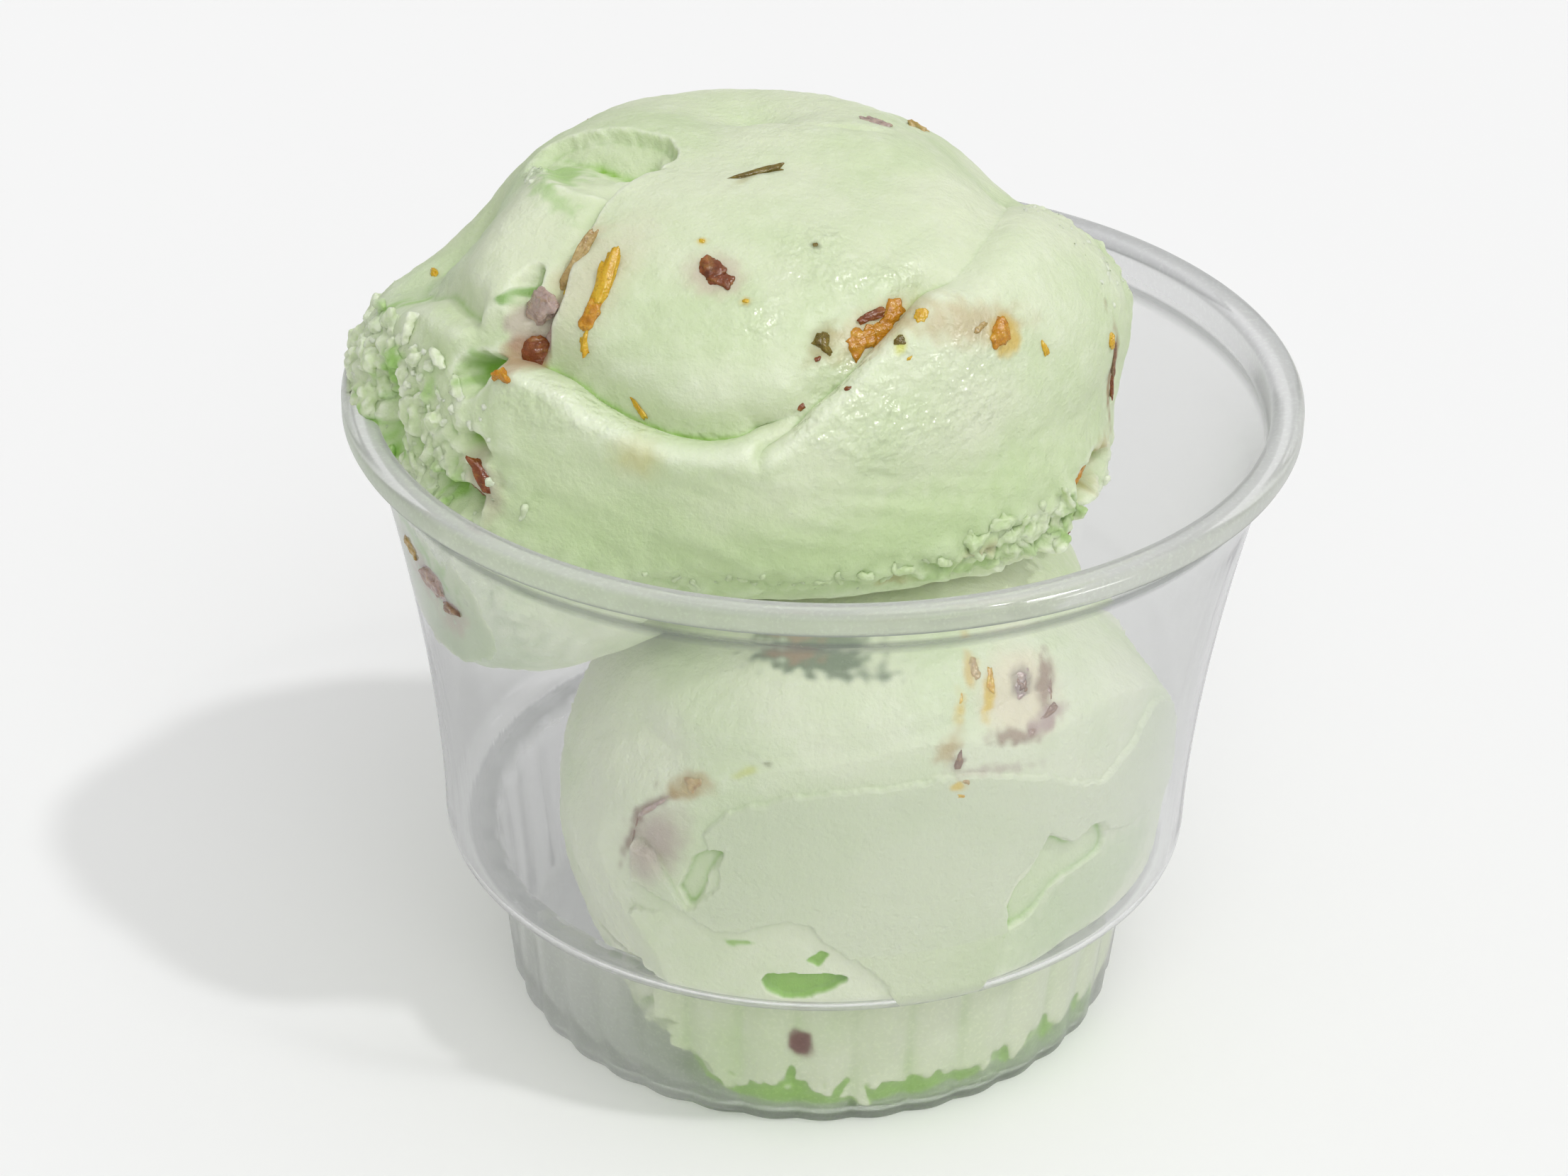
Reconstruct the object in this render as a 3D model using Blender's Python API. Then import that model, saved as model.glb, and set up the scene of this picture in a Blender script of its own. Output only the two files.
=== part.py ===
"""A clear plastic dessert cup with a fluted foot, holding two scoops of pistachio gelato.

Sizes are in millimetres and become metres when a mesh is finished. The cup stands on z = 0 and is turned
about +Z. The scoops are round masses whose folds follow curves given as (longitude, latitude) in degrees
about each scoop's own centre: longitude 0 faces -Y, the front, and grows towards +X; latitude grows upwards.
"""

import math

import bmesh
import bpy
import numpy as np
from mathutils import Matrix, Vector, noise

MM = 0.001

# The cup.
RIM_RADIUS = 46.0
RIM_TOP = 66.3
RIM_BEAD = 1.3  # height of the rim's flat bead
NECK_RADIUS = 43.5  # outside of the short neck under the rim
LEDGE_Z = 61.8  # the step where a lid or the next cup stops
WALL_TOP_RADIUS = 43.0
WALL_TOP_Z = 60.6
WALL_LOW_RADIUS = 37.4
WALL_FLARE = 1.7  # above 1, the wall flares more towards the rim
SHOULDER_Z = 17.2  # underside of the body's shoulder
SHOULDER_ROUND = 2.4
FOOT_TOP_RADIUS = 32.4
FOOT_LOW_RADIUS = 30.8
WALL = 0.6
FLOOR_RAISE = 1.5  # how far the middle of the floor stands off the table
FLOOR_RAISE_RADIUS = 25.5
RING_INNER_RADIUS = 27.0  # the ring that the cup stands on
FLUTES = 36
FLUTE_DEPTH = 0.5
FIRST_FLUTE = 2.4  # degrees from the front to the nearest flute's crest
STEPS = 72  # two faces to each flute
TYPICAL_DISTANCE = 30.0  # of gelato from its scoop's centre
CLEARANCE = 0.45  # gelato to plastic, so that the faceted solids stay apart
SCOOP_GAP = 0.7  # between the two scoops
FINE = 7  # rounds of splitting the balls that the scoops are made from
LOWER_TRIANGLES = 2100
UPPER_TRIANGLES = 5200

# The scoops. Each surface is given by how far it lies from its scoop's centre: (longitude, latitude, mm).
LOWER_CENTRE = (5.0, -7.0, 29.5)
LOWER_DISTANCES = (
    # left outline
    (-102, 17, 27.0), (-98, 10, 28.4), (-92, 1, 29.8), (-86, -8, 30.7), (-76, -23, 31.8), (-71, -30, 31.8),
    # right outline
    (112, 33, 27.5), (104, 24, 27.0), (99, 16, 27.8), (93, 8, 28.8), (90, 0, 29.8), (88, -12, 31.5), (85, -30, 34.0),
    # upper edge of the part pressed on the wall, then below it, where the wall cuts the scoop off
    (-27, 15, 35.0), (-12, 20, 34.9), (4, 21, 34.5), (20, 22, 33.4), (43, 15, 31.4), (57, 20, 33.0),
    (-20, 0, 37.0), (0, 0, 37.0), (20, 0, 36.5), (42, 0, 34.0), (62, 0, 35.0), (0, -20, 39.0), (40, -20, 38.5),
    (0, -42, 42.0), (45, -45, 42.0), (-24, -36, 38.0),
    # free left side and the open corner of the foot
    (-46, 17, 33.0), (-46, 0, 33.4), (-62, 0, 31.6), (-46, -27, 33.2), (-62, -32, 33.0), (-84, -48, 34.0),
    # top, back and bottom
    (0, 60, 30.5), (-60, 55, 28.5), (60, 55, 30.0), (120, 55, 28.0), (180, 50, 28.5), (-120, 50, 27.0), (0, 90, 27.3),
    (-38, 42, 32.0), (0, 42, 33.0), (30, 42, 32.0), (70, 38, 29.5), (180, 0, 31.0), (150, 0, 31.0), (-150, 0, 29.6),
    (180, -30, 31.0), (-140, -30, 28.5), (140, -30, 32.0), (0, -90, 28.5), (180, -60, 30.0), (-120, -55, 29.0),
)
SEAT_Z = 56.4  # where the upper scoop's weight flattens the lower one

UPPER_CENTRE = (-6.0, -1.0, 70.0)  # the upper scoop leans over the left of the rim
UPPER_DISTANCES = (
    # outline over the top, from the left round to the right lobe
    (-95, 16, 30.2), (-100, 23, 30.0), (-112, 37, 28.2), (-124, 49, 26.0), (-150, 60, 23.0), (172, 63, 22.7),
    (147, 59, 23.6), (126, 49, 25.2), (113, 37, 26.2), (104, 27, 28.0), (100, 19, 31.8), (96, 11, 34.7),
    (91, 3, 35.3), (88, -5, 34.2), (82, -17, 35.0), (76, -27, 33.5),
    # dome and left lobe
    (0, 90, 20.9), (0, 62, 22.9), (-60, 66, 22.6), (60, 62, 22.8), (-10, 45, 25.8), (-10, 28, 28.8), (-30, 30, 28.8),
    (-52, 40, 27.6), (-74, 30, 29.6), (-76, 50, 26.0), (22, 30, 28.2), (60, 38, 28.2),
    # band across the front
    (-30, 10, 30.8), (-8, 6, 30.8), (14, 4, 30.8), (-36, -6, 33.4), (-10, -8, 32.0), (16, -8, 31.8), (-10, -21, 31.6),
    (18, -20, 32.0),
    # right lobe and the ragged edge under it
    (38, 20, 30.6), (58, 16, 32.6), (76, 12, 34.4), (40, -4, 31.8), (60, -6, 33.6), (46, -19, 34.2), (64, -15, 35.0),
    # torn skirt over the rim and down the inside of the cup
    (-61, 0, 35.0), (-50, -6, 35.6), (-76, 0, 37.2), (-91, 2, 38.6), (-91, -4, 39.0), (-104, 0, 37.4), (-62, -15, 38.0),
    (-68, -33, 42.0), (-56, -33, 42.0), (-44, -32, 40.5), (-84, -33, 40.0), (-100, -30, 36.0), (-60, -47, 31.0),
    (-62, -62, 18.0), (-92, -46, 26.0), (-118, -30, 30.0), (-118, -6, 33.5),
    # back
    (180, 20, 28.8), (-150, 20, 29.4), (148, 16, 30.4), (-130, 12, 31.0), (180, -5, 29.5), (132, 0, 32.0),
    (-134, -15, 31.5), (180, -22, 28.5), (150, -22, 29.5), (112, -20, 32.5),
    # underside, resting on the lower scoop
    (0, -90, 13.4), (0, -45, 19.0), (60, -45, 19.0), (120, -45, 19.0), (180, -45, 19.0), (-24, -33, 33.0),
    (2, -33, 25.5), (36, -33, 25.5), (72, -36, 25.0), (120, -33, 25.0), (170, -34, 24.0), (-140, -36, 24.0),
)
DISTANCE_SPREAD = 24.0  # degrees over which one of these distances has a say

# Folds: (points, depth, width under, width over, lip, lip width, side that folds over), in mm beyond the points.
# Side 1 is the left hand of someone who walks the curve on the outside, -1 the right.
UPPER_FOLDS = (
    # The main dome lies over the left lobe.
    (((-64, 67), (-48, 53), (-42, 37), (-41, 27), (-44, 14)), 1.5, 2.6, 1.2, 0.7, 6.0, 1),
    # The band comes out from under the dome; its crest is the bright ridge.
    (((-50, 15), (-36, 14), (-22, 11), (-8, 7), (3, 9), (12, 15)), 2.3, 4.6, 1.6, 1.3, 4.2, -1),
    # The right lobe is folded over the tongue and the dome.
    (((4, 9), (12, 17), (24, 25), (36, 30), (47, 33), (66, 36), (92, 31), (116, 22)), 1.5, 3.2, 1.3, 1.3, 8.0, -1),
    # The dome over the tongue.
    (((-2, 15), (4, 21), (12, 27), (19, 31), (30, 38)), 1.3, 1.4, 3.0, 0.4, 5.0, 1),
    # Lower edge of the right lobe over the band.
    (((90, 1), (71, -1), (53, 1), (41, -2), (28, -1), (14, 2)), 0.7, 2.6, 1.8, 0.6, 6.0, -1),
    # A thin layer across the top, towards the back.
    (((-170, 62), (168, 70), (130, 70), (108, 54)), 0.6, 1.0, 2.0, 0.5, 7.0, -1),
    # The skirt's upper edge, over the left lobe.
    (((-104, 14), (-92, 9), (-78, 10), (-66, 12), (-56, 15), (-50, 20)), 1.5, 2.4, 1.4, 0.9, 4.0, -1),
    # The band goes round the back in two turns.
    (((112, 8), (140, 13), (168, 17), (-166, 12), (-140, 6), (-116, 6)), 1.9, 4.0, 1.6, 1.1, 5.0, -1),
    (((122, 40), (150, 43), (178, 40), (-156, 34), (-128, 30)), 1.2, 3.6, 1.6, 0.9, 6.0, 1),
)
LOWER_FOLDS = (
    # Creases in the part that can be seen above the wall's contact.
    (((-60, 30), (-38, 24), (-14, 28), (10, 33), (36, 36), (60, 30)), 0.7, 4.0, 2.5, 0.5, 7.0, 1),
    (((-150, 24), (-118, 18), (-92, 14), (-70, -2), (-58, -18)), 1.0, 4.0, 2.0, 0.7, 7.0, 1),
    (((96, 30), (120, 22), (150, 18), (-175, 26)), 1.2, 4.0, 2.0, 0.9, 7.0, -1),
)

# Swellings and hollows: (longitude, latitude, half width across, half width up, height).
UPPER_SWELLINGS = (
    (-86, 51, 13, 7, -2.2),  # torn hollow in the left lobe
    (-66, 2, 5.5, 4.5, -3.2),  # deep pit in the skirt
    (-76, -6, 5, 4, -2.2),
    (-62, -9, 4.5, 4, -2.0),
    (66, -20, 9, 4, -2.2),  # hollow behind the ragged edge
)
LOWER_SWELLINGS = (
    (-33, -2, 5, 7, -1.6),  # torn pocket beside the contact
)

# Torn gelato: (longitude, latitude, half width across, half width up, roughness in mm).
UPPER_TORN = (
    (-72, 0, 30, 14, 1.5),
    (-98, 2, 18, 12, 1.4),
    (-60, -24, 24, 14, 1.3),
    (-86, 51, 12, 6, 0.6),
    (56, -18, 26, 7, 1.5),
    (94, 20, 10, 16, 0.7),
    (150, -16, 60, 8, 0.9),
)
LOWER_TORN = (
    (-42, -36, 20, 14, 1.3),
    (140, -20, 60, 24, 0.8),
)
UNEVEN = 0.4  # gentle unevenness of smooth gelato
UNEVEN_SIZE = 12.0
TORN_SIZE = 3.4

# Pistachio pieces: (longitude, latitude, length, width, thickness, turn in degrees, how far it stands out).
UPPER_NUTS = (
    (-6, 67, 8.0, 1.8, 1.6, 22, 0.4),
    (-36, 28, 9.5, 3.0, 2.2, 72, 0.4),
    (-46, 19, 8.0, 5.5, 4.0, 70, 0.6),
    (27, 29, 8.0, 3.4, 2.2, 24, 0.5),
    (14, 25, 3.6, 3.0, 2.4, 60, 0.4),
    (64, -20, 7.5, 3.4, 2.2, 32, 0.5),
    (-56, -7, 6.0, 3.6, 2.6, -58, 0.6),
    (134, 46, 6.0, 3.0, 2.0, 10, 0.4),
)
LOWER_NUTS = (
    (44, 40, 8.0, 6.0, 2.6, 20, 0.5),
    (-50, 10, 9.0, 5.0, 2.6, 50, 0.4),
)


def clear_scene():
    for found in list(bpy.data.objects):
        bpy.data.objects.remove(found)


def finish_material(name, colour, roughness, transmission=0.0):
    material = bpy.data.materials.new(name)
    material.use_nodes = True
    shader = material.node_tree.nodes["Principled BSDF"]
    shader.inputs["Base Color"].default_value = (*colour, 1.0)
    shader.inputs["Roughness"].default_value = roughness
    shader.inputs["Transmission Weight"].default_value = transmission
    return material


def add_object(name, bm, material=None):
    """The bmesh as an object, scaled from millimetres to metres."""
    bmesh.ops.transform(bm, matrix=Matrix.Scale(MM, 4), verts=bm.verts)
    mesh = bpy.data.meshes.new(name)
    bm.to_mesh(mesh)
    bm.free()
    if material:
        mesh.materials.append(material)
    mesh.shade_smooth()
    mesh.set_sharp_from_angle(angle=math.radians(35))
    made = bpy.data.objects.new(name, mesh)
    bpy.context.scene.collection.objects.link(made)
    return made


def wall_radius(z):
    """Outside radius of the body's wall."""
    low = SHOULDER_Z + SHOULDER_ROUND
    share = max(0.0, (z - low) / (WALL_TOP_Z - low))
    return WALL_LOW_RADIUS + (WALL_TOP_RADIUS - WALL_LOW_RADIUS) * share**WALL_FLARE


def arc(centre_r, centre_z, radius, start, end, pieces):
    """Points of an arc in the (radius, height) plane, angles in degrees."""
    turned = [math.radians(start + (end - start) * i / pieces) for i in range(pieces + 1)]
    return [(centre_r + radius * math.cos(a), centre_z + radius * math.sin(a)) for a in turned]


def cup_profile():
    """(radius, height, share of the flutes), from the underside's middle over the rim to the floor's middle."""
    shoulder_r = WALL_LOW_RADIUS - SHOULDER_ROUND
    shoulder_z = SHOULDER_Z + SHOULDER_ROUND
    half = RIM_BEAD / 2
    outside = [
        (0.0, FLOOR_RAISE, 0),
        (FLOOR_RAISE_RADIUS, FLOOR_RAISE, 0),
        (RING_INNER_RADIUS, 0.0, 0),
        (FOOT_LOW_RADIUS - 0.9, 0.0, 1),
        (FOOT_LOW_RADIUS, 1.0, 1),
        (FOOT_TOP_RADIUS, SHOULDER_Z - 1.0, 1),
        (FOOT_TOP_RADIUS + 0.6, SHOULDER_Z - 0.1, 0),
    ]
    outside += [(r, z, 0) for r, z in arc(shoulder_r, shoulder_z, SHOULDER_ROUND, -90, 0, 3)]
    outside += [(wall_radius(z), z, 0) for z in (35.0, 48.0, WALL_TOP_Z)]
    outside += [(NECK_RADIUS, LEDGE_Z, 0), (NECK_RADIUS, RIM_TOP - RIM_BEAD, 0)]
    outside += [(r, z, 0) for r, z in arc(RIM_RADIUS - half, RIM_TOP - half, half, -90, 90, 4)]
    inside = [
        (NECK_RADIUS + 0.2, RIM_TOP, 0),
        (NECK_RADIUS - WALL, RIM_TOP - 0.8, 0),
        (NECK_RADIUS - WALL, LEDGE_Z, 0),
    ]
    inside += [(wall_radius(z) - WALL, z, 0) for z in (WALL_TOP_Z - 0.2, 48.0, 35.0, shoulder_z)]
    inside += [
        (shoulder_r + 0.8, SHOULDER_Z + WALL + 0.3, 0),
        (FOOT_TOP_RADIUS + 0.2, SHOULDER_Z + WALL - 0.1, 0),
        (FOOT_TOP_RADIUS - WALL, SHOULDER_Z - 1.0, 1),
        (FOOT_LOW_RADIUS - WALL, 1.4, 1),
        (FOOT_LOW_RADIUS - 1.4, WALL + 0.2, 1),
        (RING_INNER_RADIUS, WALL + 0.2, 0),
        (FLOOR_RAISE_RADIUS - 0.4, FLOOR_RAISE + WALL, 0),
        (0.0, FLOOR_RAISE + WALL, 0),
    ]
    return outside + inside


def turned(profile, steps, first_angle):
    """A closed solid of revolution about Z. Profile points on the axis become the poles."""
    bm = bmesh.new()
    start = Matrix.Rotation(math.radians(first_angle), 4, "Z")
    chain = [bm.verts.new(start @ Vector((0.0, -r, z))) for r, z, *_ in profile]
    edges = [bm.edges.new(pair) for pair in zip(chain, chain[1:])]
    bmesh.ops.spin(
        bm,
        geom=chain + edges,
        cent=(0, 0, 0),
        axis=(0, 0, 1),
        angle=math.tau,
        steps=steps,
        use_merge=True,
    )
    bmesh.ops.remove_doubles(bm, verts=bm.verts, dist=1e-4)
    bmesh.ops.recalc_face_normals(bm, faces=bm.faces)
    return bm


def flute(bm, profile):
    """Pushes the foot's rows out and in, so that each crest lies between two valleys."""
    rows = {(round(r, 3), round(z, 3)): share for r, z, share in profile if share}
    for vert in bm.verts:
        radius = math.hypot(vert.co.x, vert.co.y)
        share = rows.get((round(radius, 3), round(vert.co.z, 3)), 0)
        if not share:
            continue
        around = math.atan2(vert.co.x, -vert.co.y) - math.radians(FIRST_FLUTE)
        moved = radius + share * FLUTE_DEPTH / 2 * math.cos(FLUTES * around)
        vert.co.xy *= moved / radius


def make_cup(material):
    profile = cup_profile()
    bm = turned(profile, STEPS, FIRST_FLUTE)
    flute(bm, profile)
    return add_object("cup", bm, material)


def inside_guard():
    """The room inside the cup, less the clearance, as a solid to keep the lower scoop in."""
    flat = FLOOR_RAISE + WALL + CLEARANCE
    foot = FLUTE_DEPTH / 2 + WALL + CLEARANCE
    rows = [(0.0, flat), (FOOT_LOW_RADIUS - foot - 0.5, flat), (FOOT_TOP_RADIUS - foot, SHOULDER_Z - 1.0)]
    rows += [(FOOT_TOP_RADIUS - foot, SHOULDER_Z + WALL + CLEARANCE)]
    corner = WALL_LOW_RADIUS - WALL - CLEARANCE
    rows += [(corner - 1.4, SHOULDER_Z + WALL + CLEARANCE + 0.2), (corner, SHOULDER_Z + SHOULDER_ROUND + 1.0)]
    rows += [(wall_radius(z) - WALL - CLEARANCE, z) for z in (33.0, 44.0, 53.0, WALL_TOP_Z)]
    rows += [(0.0, WALL_TOP_Z)]
    return helper("inside_guard", turned(rows, STEPS, FIRST_FLUTE))


def rim_guard():
    """The plastic and all that lies outside it below the rim's top, as a ring to cut from the upper scoop."""
    outer = RIM_RADIUS + 14.0
    over = RIM_TOP + CLEARANCE
    neck = NECK_RADIUS - WALL - CLEARANCE
    rows = [(outer, 30.0), (outer, over), (neck + 0.6, over), (neck, over - 0.8), (neck, LEDGE_Z)]
    rows += [(wall_radius(z) - WALL - CLEARANCE, z) for z in (WALL_TOP_Z, 53.0, 44.0, 33.0)]
    rows += [(rows[-1][0], 30.0), (outer, 30.0)]
    return helper("rim_guard", turned(rows, STEPS, FIRST_FLUTE))


def helper(name, bm):
    made = add_object(name, bm)
    made.hide_render = True
    made.display_type = "WIRE"
    return made


def direction(longitude, latitude):
    lon, lat = math.radians(longitude), math.radians(latitude)
    return np.array([math.sin(lon) * math.cos(lat), -math.cos(lon) * math.cos(lat), math.sin(lat)])


def smooth_curve(points, pieces=8):
    """Unit directions along a Catmull-Rom curve through (longitude, latitude) points."""
    given = [direction(*p) for p in points]
    given = [2 * given[0] - given[1], *given, 2 * given[-1] - given[-2]]
    found = []
    for a, b, c, d in zip(given, given[1:], given[2:], given[3:]):
        for i in range(pieces):
            t = i / pieces
            found.append(
                0.5 * (2 * b + (c - a) * t + (2 * a - 5 * b + 4 * c - d) * t**2 + (3 * b - a - 3 * c + d) * t**3)
            )
    found.append(given[-2])
    curve = np.array(found)
    return curve / np.linalg.norm(curve, axis=1)[:, None]


def from_curve(towards, curve):
    """(mm away from the curve, side of it, share of the way along it) for each direction."""
    start, step = curve[:-1], np.diff(curve, axis=0)
    along = ((towards @ step.T) - (start * step).sum(1)) / (step**2).sum(1)
    along = np.clip(along, 0, 1)
    gap = towards[:, None] - start - along[..., None] * step
    nearest = np.argmin((gap**2).sum(2), axis=1)
    pick = np.arange(len(towards)), nearest
    away = np.linalg.norm(gap[pick], axis=1) * TYPICAL_DISTANCE
    side = np.sign((np.cross(step[nearest], gap[pick]) * start[nearest]).sum(1))
    return away, side, (nearest + along[pick]) / len(step)


def ramp(values, low, high):
    t = np.clip((values - low) / (high - low), 0, 1)
    return t * t * (3 - 2 * t)


def fold_height(towards, folds):
    height = np.zeros(len(towards))
    for points, depth, under, over, lip, lip_width, over_side in folds:
        away, side, share = from_curve(towards, smooth_curve(points))
        ends = ramp(share, 0, 0.14) * ramp(1 - share, 0, 0.14)
        is_over = side == over_side
        groove = np.exp(-((away / np.where(is_over, over, under)) ** 2))
        rise = np.where(is_over, (1 - groove) * np.exp(-((away / lip_width) ** 2)), 0)
        height += ends * (lip * rise - depth * groove)
    return height


def patch(towards, longitude, latitude, across, up):
    """1 in the middle of an oval patch, falling smoothly to 0 at about twice its half widths."""
    lon = np.degrees(np.arctan2(towards[:, 0], -towards[:, 1]))
    lat = np.degrees(np.arcsin(np.clip(towards[:, 2], -1, 1)))
    turn = (lon - longitude + 180) % 360 - 180
    turn *= np.cos(np.radians(lat)) / max(math.cos(math.radians(latitude)), 0.3)
    return np.exp(-((turn / across) ** 2 + ((lat - latitude) / up) ** 2))


def smooth_distance(towards, distances):
    """Distance from the centre in each direction, eased between the listed ones."""
    given = np.array([direction(lon, lat) for lon, lat, _ in distances])
    wanted = np.array([mm for _, _, mm in distances])
    width = math.radians(DISTANCE_SPREAD)

    def likeness(a):
        return np.exp(-((np.arccos(np.clip(a @ given.T, -1, 1)) / width) ** 2))

    weights = np.linalg.solve(likeness(given) + 0.02 * np.eye(len(given)), wanted - TYPICAL_DISTANCE)
    return TYPICAL_DISTANCE + likeness(towards) @ weights


def scoop_points(towards, centre, distances, folds, swellings, torn):
    """The gelato's surface, one point for each direction from the centre."""
    height = smooth_distance(towards, distances) + fold_height(towards, folds)
    for lon, lat, across, up, rise in swellings:
        height += rise * patch(towards, lon, lat, across, up)
    points = np.array(centre) + towards * height[:, None]
    rough = sum(size * patch(towards, *place, across, up) for *place, across, up, size in torn)
    bumps = np.array([noise.noise(Vector(p / UNEVEN_SIZE)) for p in points]) * UNEVEN
    bumps += rough * np.array([noise.noise(Vector(p / TORN_SIZE)) for p in points])
    return points + towards * bumps[:, None]


def ball(rounds):
    """An icosphere of radius 1, and its vertices as an array of directions."""
    bm = bmesh.new()
    bmesh.ops.create_icosphere(bm, subdivisions=rounds, radius=1.0)
    return bm, np.array([v.co for v in bm.verts])


def place(bm, points):
    for vert, point in zip(bm.verts, points):
        vert.co = point


def make_nuts(name, nuts, shape):
    """Small oval pistachio pieces, each mostly sunk in the surface of its scoop."""
    bm = bmesh.new()
    for lon, lat, long, wide, thick, turn, out in nuts:
        towards = Vector(direction(lon, lat))
        spot = Vector(shape(np.array([towards]))[0])
        sideways = Vector((0, 0, 1)).cross(towards).normalized()
        upright = towards.cross(sideways)
        frame = Matrix((sideways, upright, towards)).transposed().to_4x4()
        turned_by = Matrix.Rotation(math.radians(turn), 4, "Z")
        size = Matrix.Diagonal((long / 2, wide / 2, thick / 2, 1))
        at = Matrix.Translation(spot + towards * (out - thick / 4))
        bmesh.ops.create_icosphere(bm, subdivisions=1, radius=1.0, matrix=at @ frame @ turned_by @ size)
    return helper(name, bm)


def boolean(target, tool, operation):
    modifier = target.modifiers.new(operation.lower(), "BOOLEAN")
    modifier.operation = operation
    modifier.object = tool
    modifier.solver = "EXACT"
    return modifier


def simplify(target, triangles):
    """Keeps the folds and drops the points that flat gelato doesn't need."""
    modifier = target.modifiers.new("simplify", "DECIMATE")
    modifier.ratio = triangles / len(target.data.polygons)


def lower_shape(towards):
    return scoop_points(towards, LOWER_CENTRE, LOWER_DISTANCES, LOWER_FOLDS, LOWER_SWELLINGS, LOWER_TORN)


def upper_shape(towards):
    return scoop_points(towards, UPPER_CENTRE, UPPER_DISTANCES, UPPER_FOLDS, UPPER_SWELLINGS, UPPER_TORN)


def flatten_seat(points):
    """The upper scoop's weight leaves the lower one flat on top."""
    points[:, 2] = np.minimum(points[:, 2], SEAT_Z)
    return points


def clear_of_lower(points):
    """Lifts the upper scoop's underside off the lower scoop, away from the lower one's centre."""
    from_centre = points - np.array(LOWER_CENTRE)
    distance = np.linalg.norm(from_centre, axis=1)
    towards = from_centre / distance[:, None]
    least = smooth_distance(towards, LOWER_DISTANCES) + UNEVEN + SCOOP_GAP
    pushed = np.array(LOWER_CENTRE) + towards * np.maximum(distance, least)[:, None]
    flat = (pushed[:, 2] > SEAT_Z + SCOOP_GAP) & (distance < least)
    pushed[flat] = points[flat]
    pushed[flat, 2] = np.maximum(points[flat, 2], SEAT_Z + SCOOP_GAP)
    return pushed


def make_lower(material, guard):
    bm, towards = ball(FINE)
    place(bm, flatten_seat(lower_shape(towards)))
    scoop = add_object("lower_scoop", bm, material)
    simplify(scoop, LOWER_TRIANGLES)
    boolean(scoop, make_nuts("lower_nuts", LOWER_NUTS, lower_shape), "UNION")
    boolean(scoop, guard, "INTERSECT")
    return scoop


def make_upper(material, guard):
    bm, towards = ball(FINE)
    place(bm, clear_of_lower(upper_shape(towards)))
    scoop = add_object("upper_scoop", bm, material)
    simplify(scoop, UPPER_TRIANGLES)
    boolean(scoop, make_nuts("upper_nuts", UPPER_NUTS, upper_shape), "UNION")
    boolean(scoop, guard, "DIFFERENCE")
    return scoop


clear_scene()
plastic = finish_material("clear_plastic", (0.95, 0.96, 0.97), 0.05, transmission=1.0)
lower_gelato = finish_material("lower_gelato", (0.66, 0.79, 0.52), 0.45)
upper_gelato = finish_material("upper_gelato", (0.66, 0.79, 0.52), 0.45)
make_cup(plastic)
make_lower(lower_gelato, inside_guard())
make_upper(upper_gelato, rim_guard())
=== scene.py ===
# %% [markdown]
# Pistachio gelato in a clear dessert cup. Two scoops lie on each other in a thin plastic cup, and the upper
# one leans over the rim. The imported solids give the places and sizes; this script gives the looks.
# Everything is worked out in millimetres, as a food stylist would measure it, and turned into metres when a
# mesh is finished.

# %% Load the fixed frame
import math

import bmesh
import bpy
import numpy as np
from mathutils import Matrix, Vector, noise
from mathutils.bvhtree import BVHTree


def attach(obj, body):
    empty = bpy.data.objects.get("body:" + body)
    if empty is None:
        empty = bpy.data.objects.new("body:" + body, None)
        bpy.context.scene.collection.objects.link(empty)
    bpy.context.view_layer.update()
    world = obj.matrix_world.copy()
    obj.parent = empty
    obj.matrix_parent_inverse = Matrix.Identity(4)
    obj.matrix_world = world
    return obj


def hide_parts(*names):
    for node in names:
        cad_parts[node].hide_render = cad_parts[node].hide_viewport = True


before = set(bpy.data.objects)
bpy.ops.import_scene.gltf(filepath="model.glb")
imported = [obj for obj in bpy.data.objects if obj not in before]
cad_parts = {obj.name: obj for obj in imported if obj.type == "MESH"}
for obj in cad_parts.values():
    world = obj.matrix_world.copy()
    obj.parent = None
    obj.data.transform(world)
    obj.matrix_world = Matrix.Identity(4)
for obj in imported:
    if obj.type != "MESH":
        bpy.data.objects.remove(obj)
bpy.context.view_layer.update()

MM = 0.001

# %% [markdown]
# The camera looks down at the cup by about thirty degrees, from close by, so that the rim shows as a wide
# oval and the wall narrows towards the foot. Its place is worked out from that angle, its distance and the
# point that it looks at. A slight roll is kept, because the rim's oval in the photo isn't quite level.

# %% The camera
IMAGE_WIDTH = 2212
FOCAL_LENGTH = 5500.0  # in pixels of that image
SENSOR = 36.0
CAMERA_DISTANCE = 385.77
CAMERA_ELEVATION = math.radians(30.04)
CAMERA_ROLL = math.radians(0.90)
LOOKS_AT = Vector((-3.42, 0.0, 42.51))

camera = bpy.data.objects.new("camera", bpy.data.cameras.new("camera"))
bpy.context.scene.collection.objects.link(camera)
camera.data.sensor_width = SENSOR
camera.data.lens = FOCAL_LENGTH * SENSOR / IMAGE_WIDTH
forward = Vector((0.0, math.cos(CAMERA_ELEVATION), -math.sin(CAMERA_ELEVATION)))
turn = Matrix.Rotation(CAMERA_ROLL, 4, "Z")
aim = (-forward).to_track_quat("Z", "Y").to_matrix().to_4x4()
camera.matrix_world = Matrix.Translation((LOOKS_AT - CAMERA_DISTANCE * forward) * MM) @ aim @ turn
bpy.context.scene.camera = camera
bpy.context.scene.view_settings.view_transform = "Standard"
print("camera at", [round(v, 4) for v in camera.matrix_world.translation])

# %% [markdown]
# Shader maths is easier to read as sums than as a web of nodes. A small class wraps a socket, and Python's
# operators on it add the Math, Vector Math and Mix nodes. Each material gets one `Shader`, which makes any
# node from its type, its settings and the values of its sockets.


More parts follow.
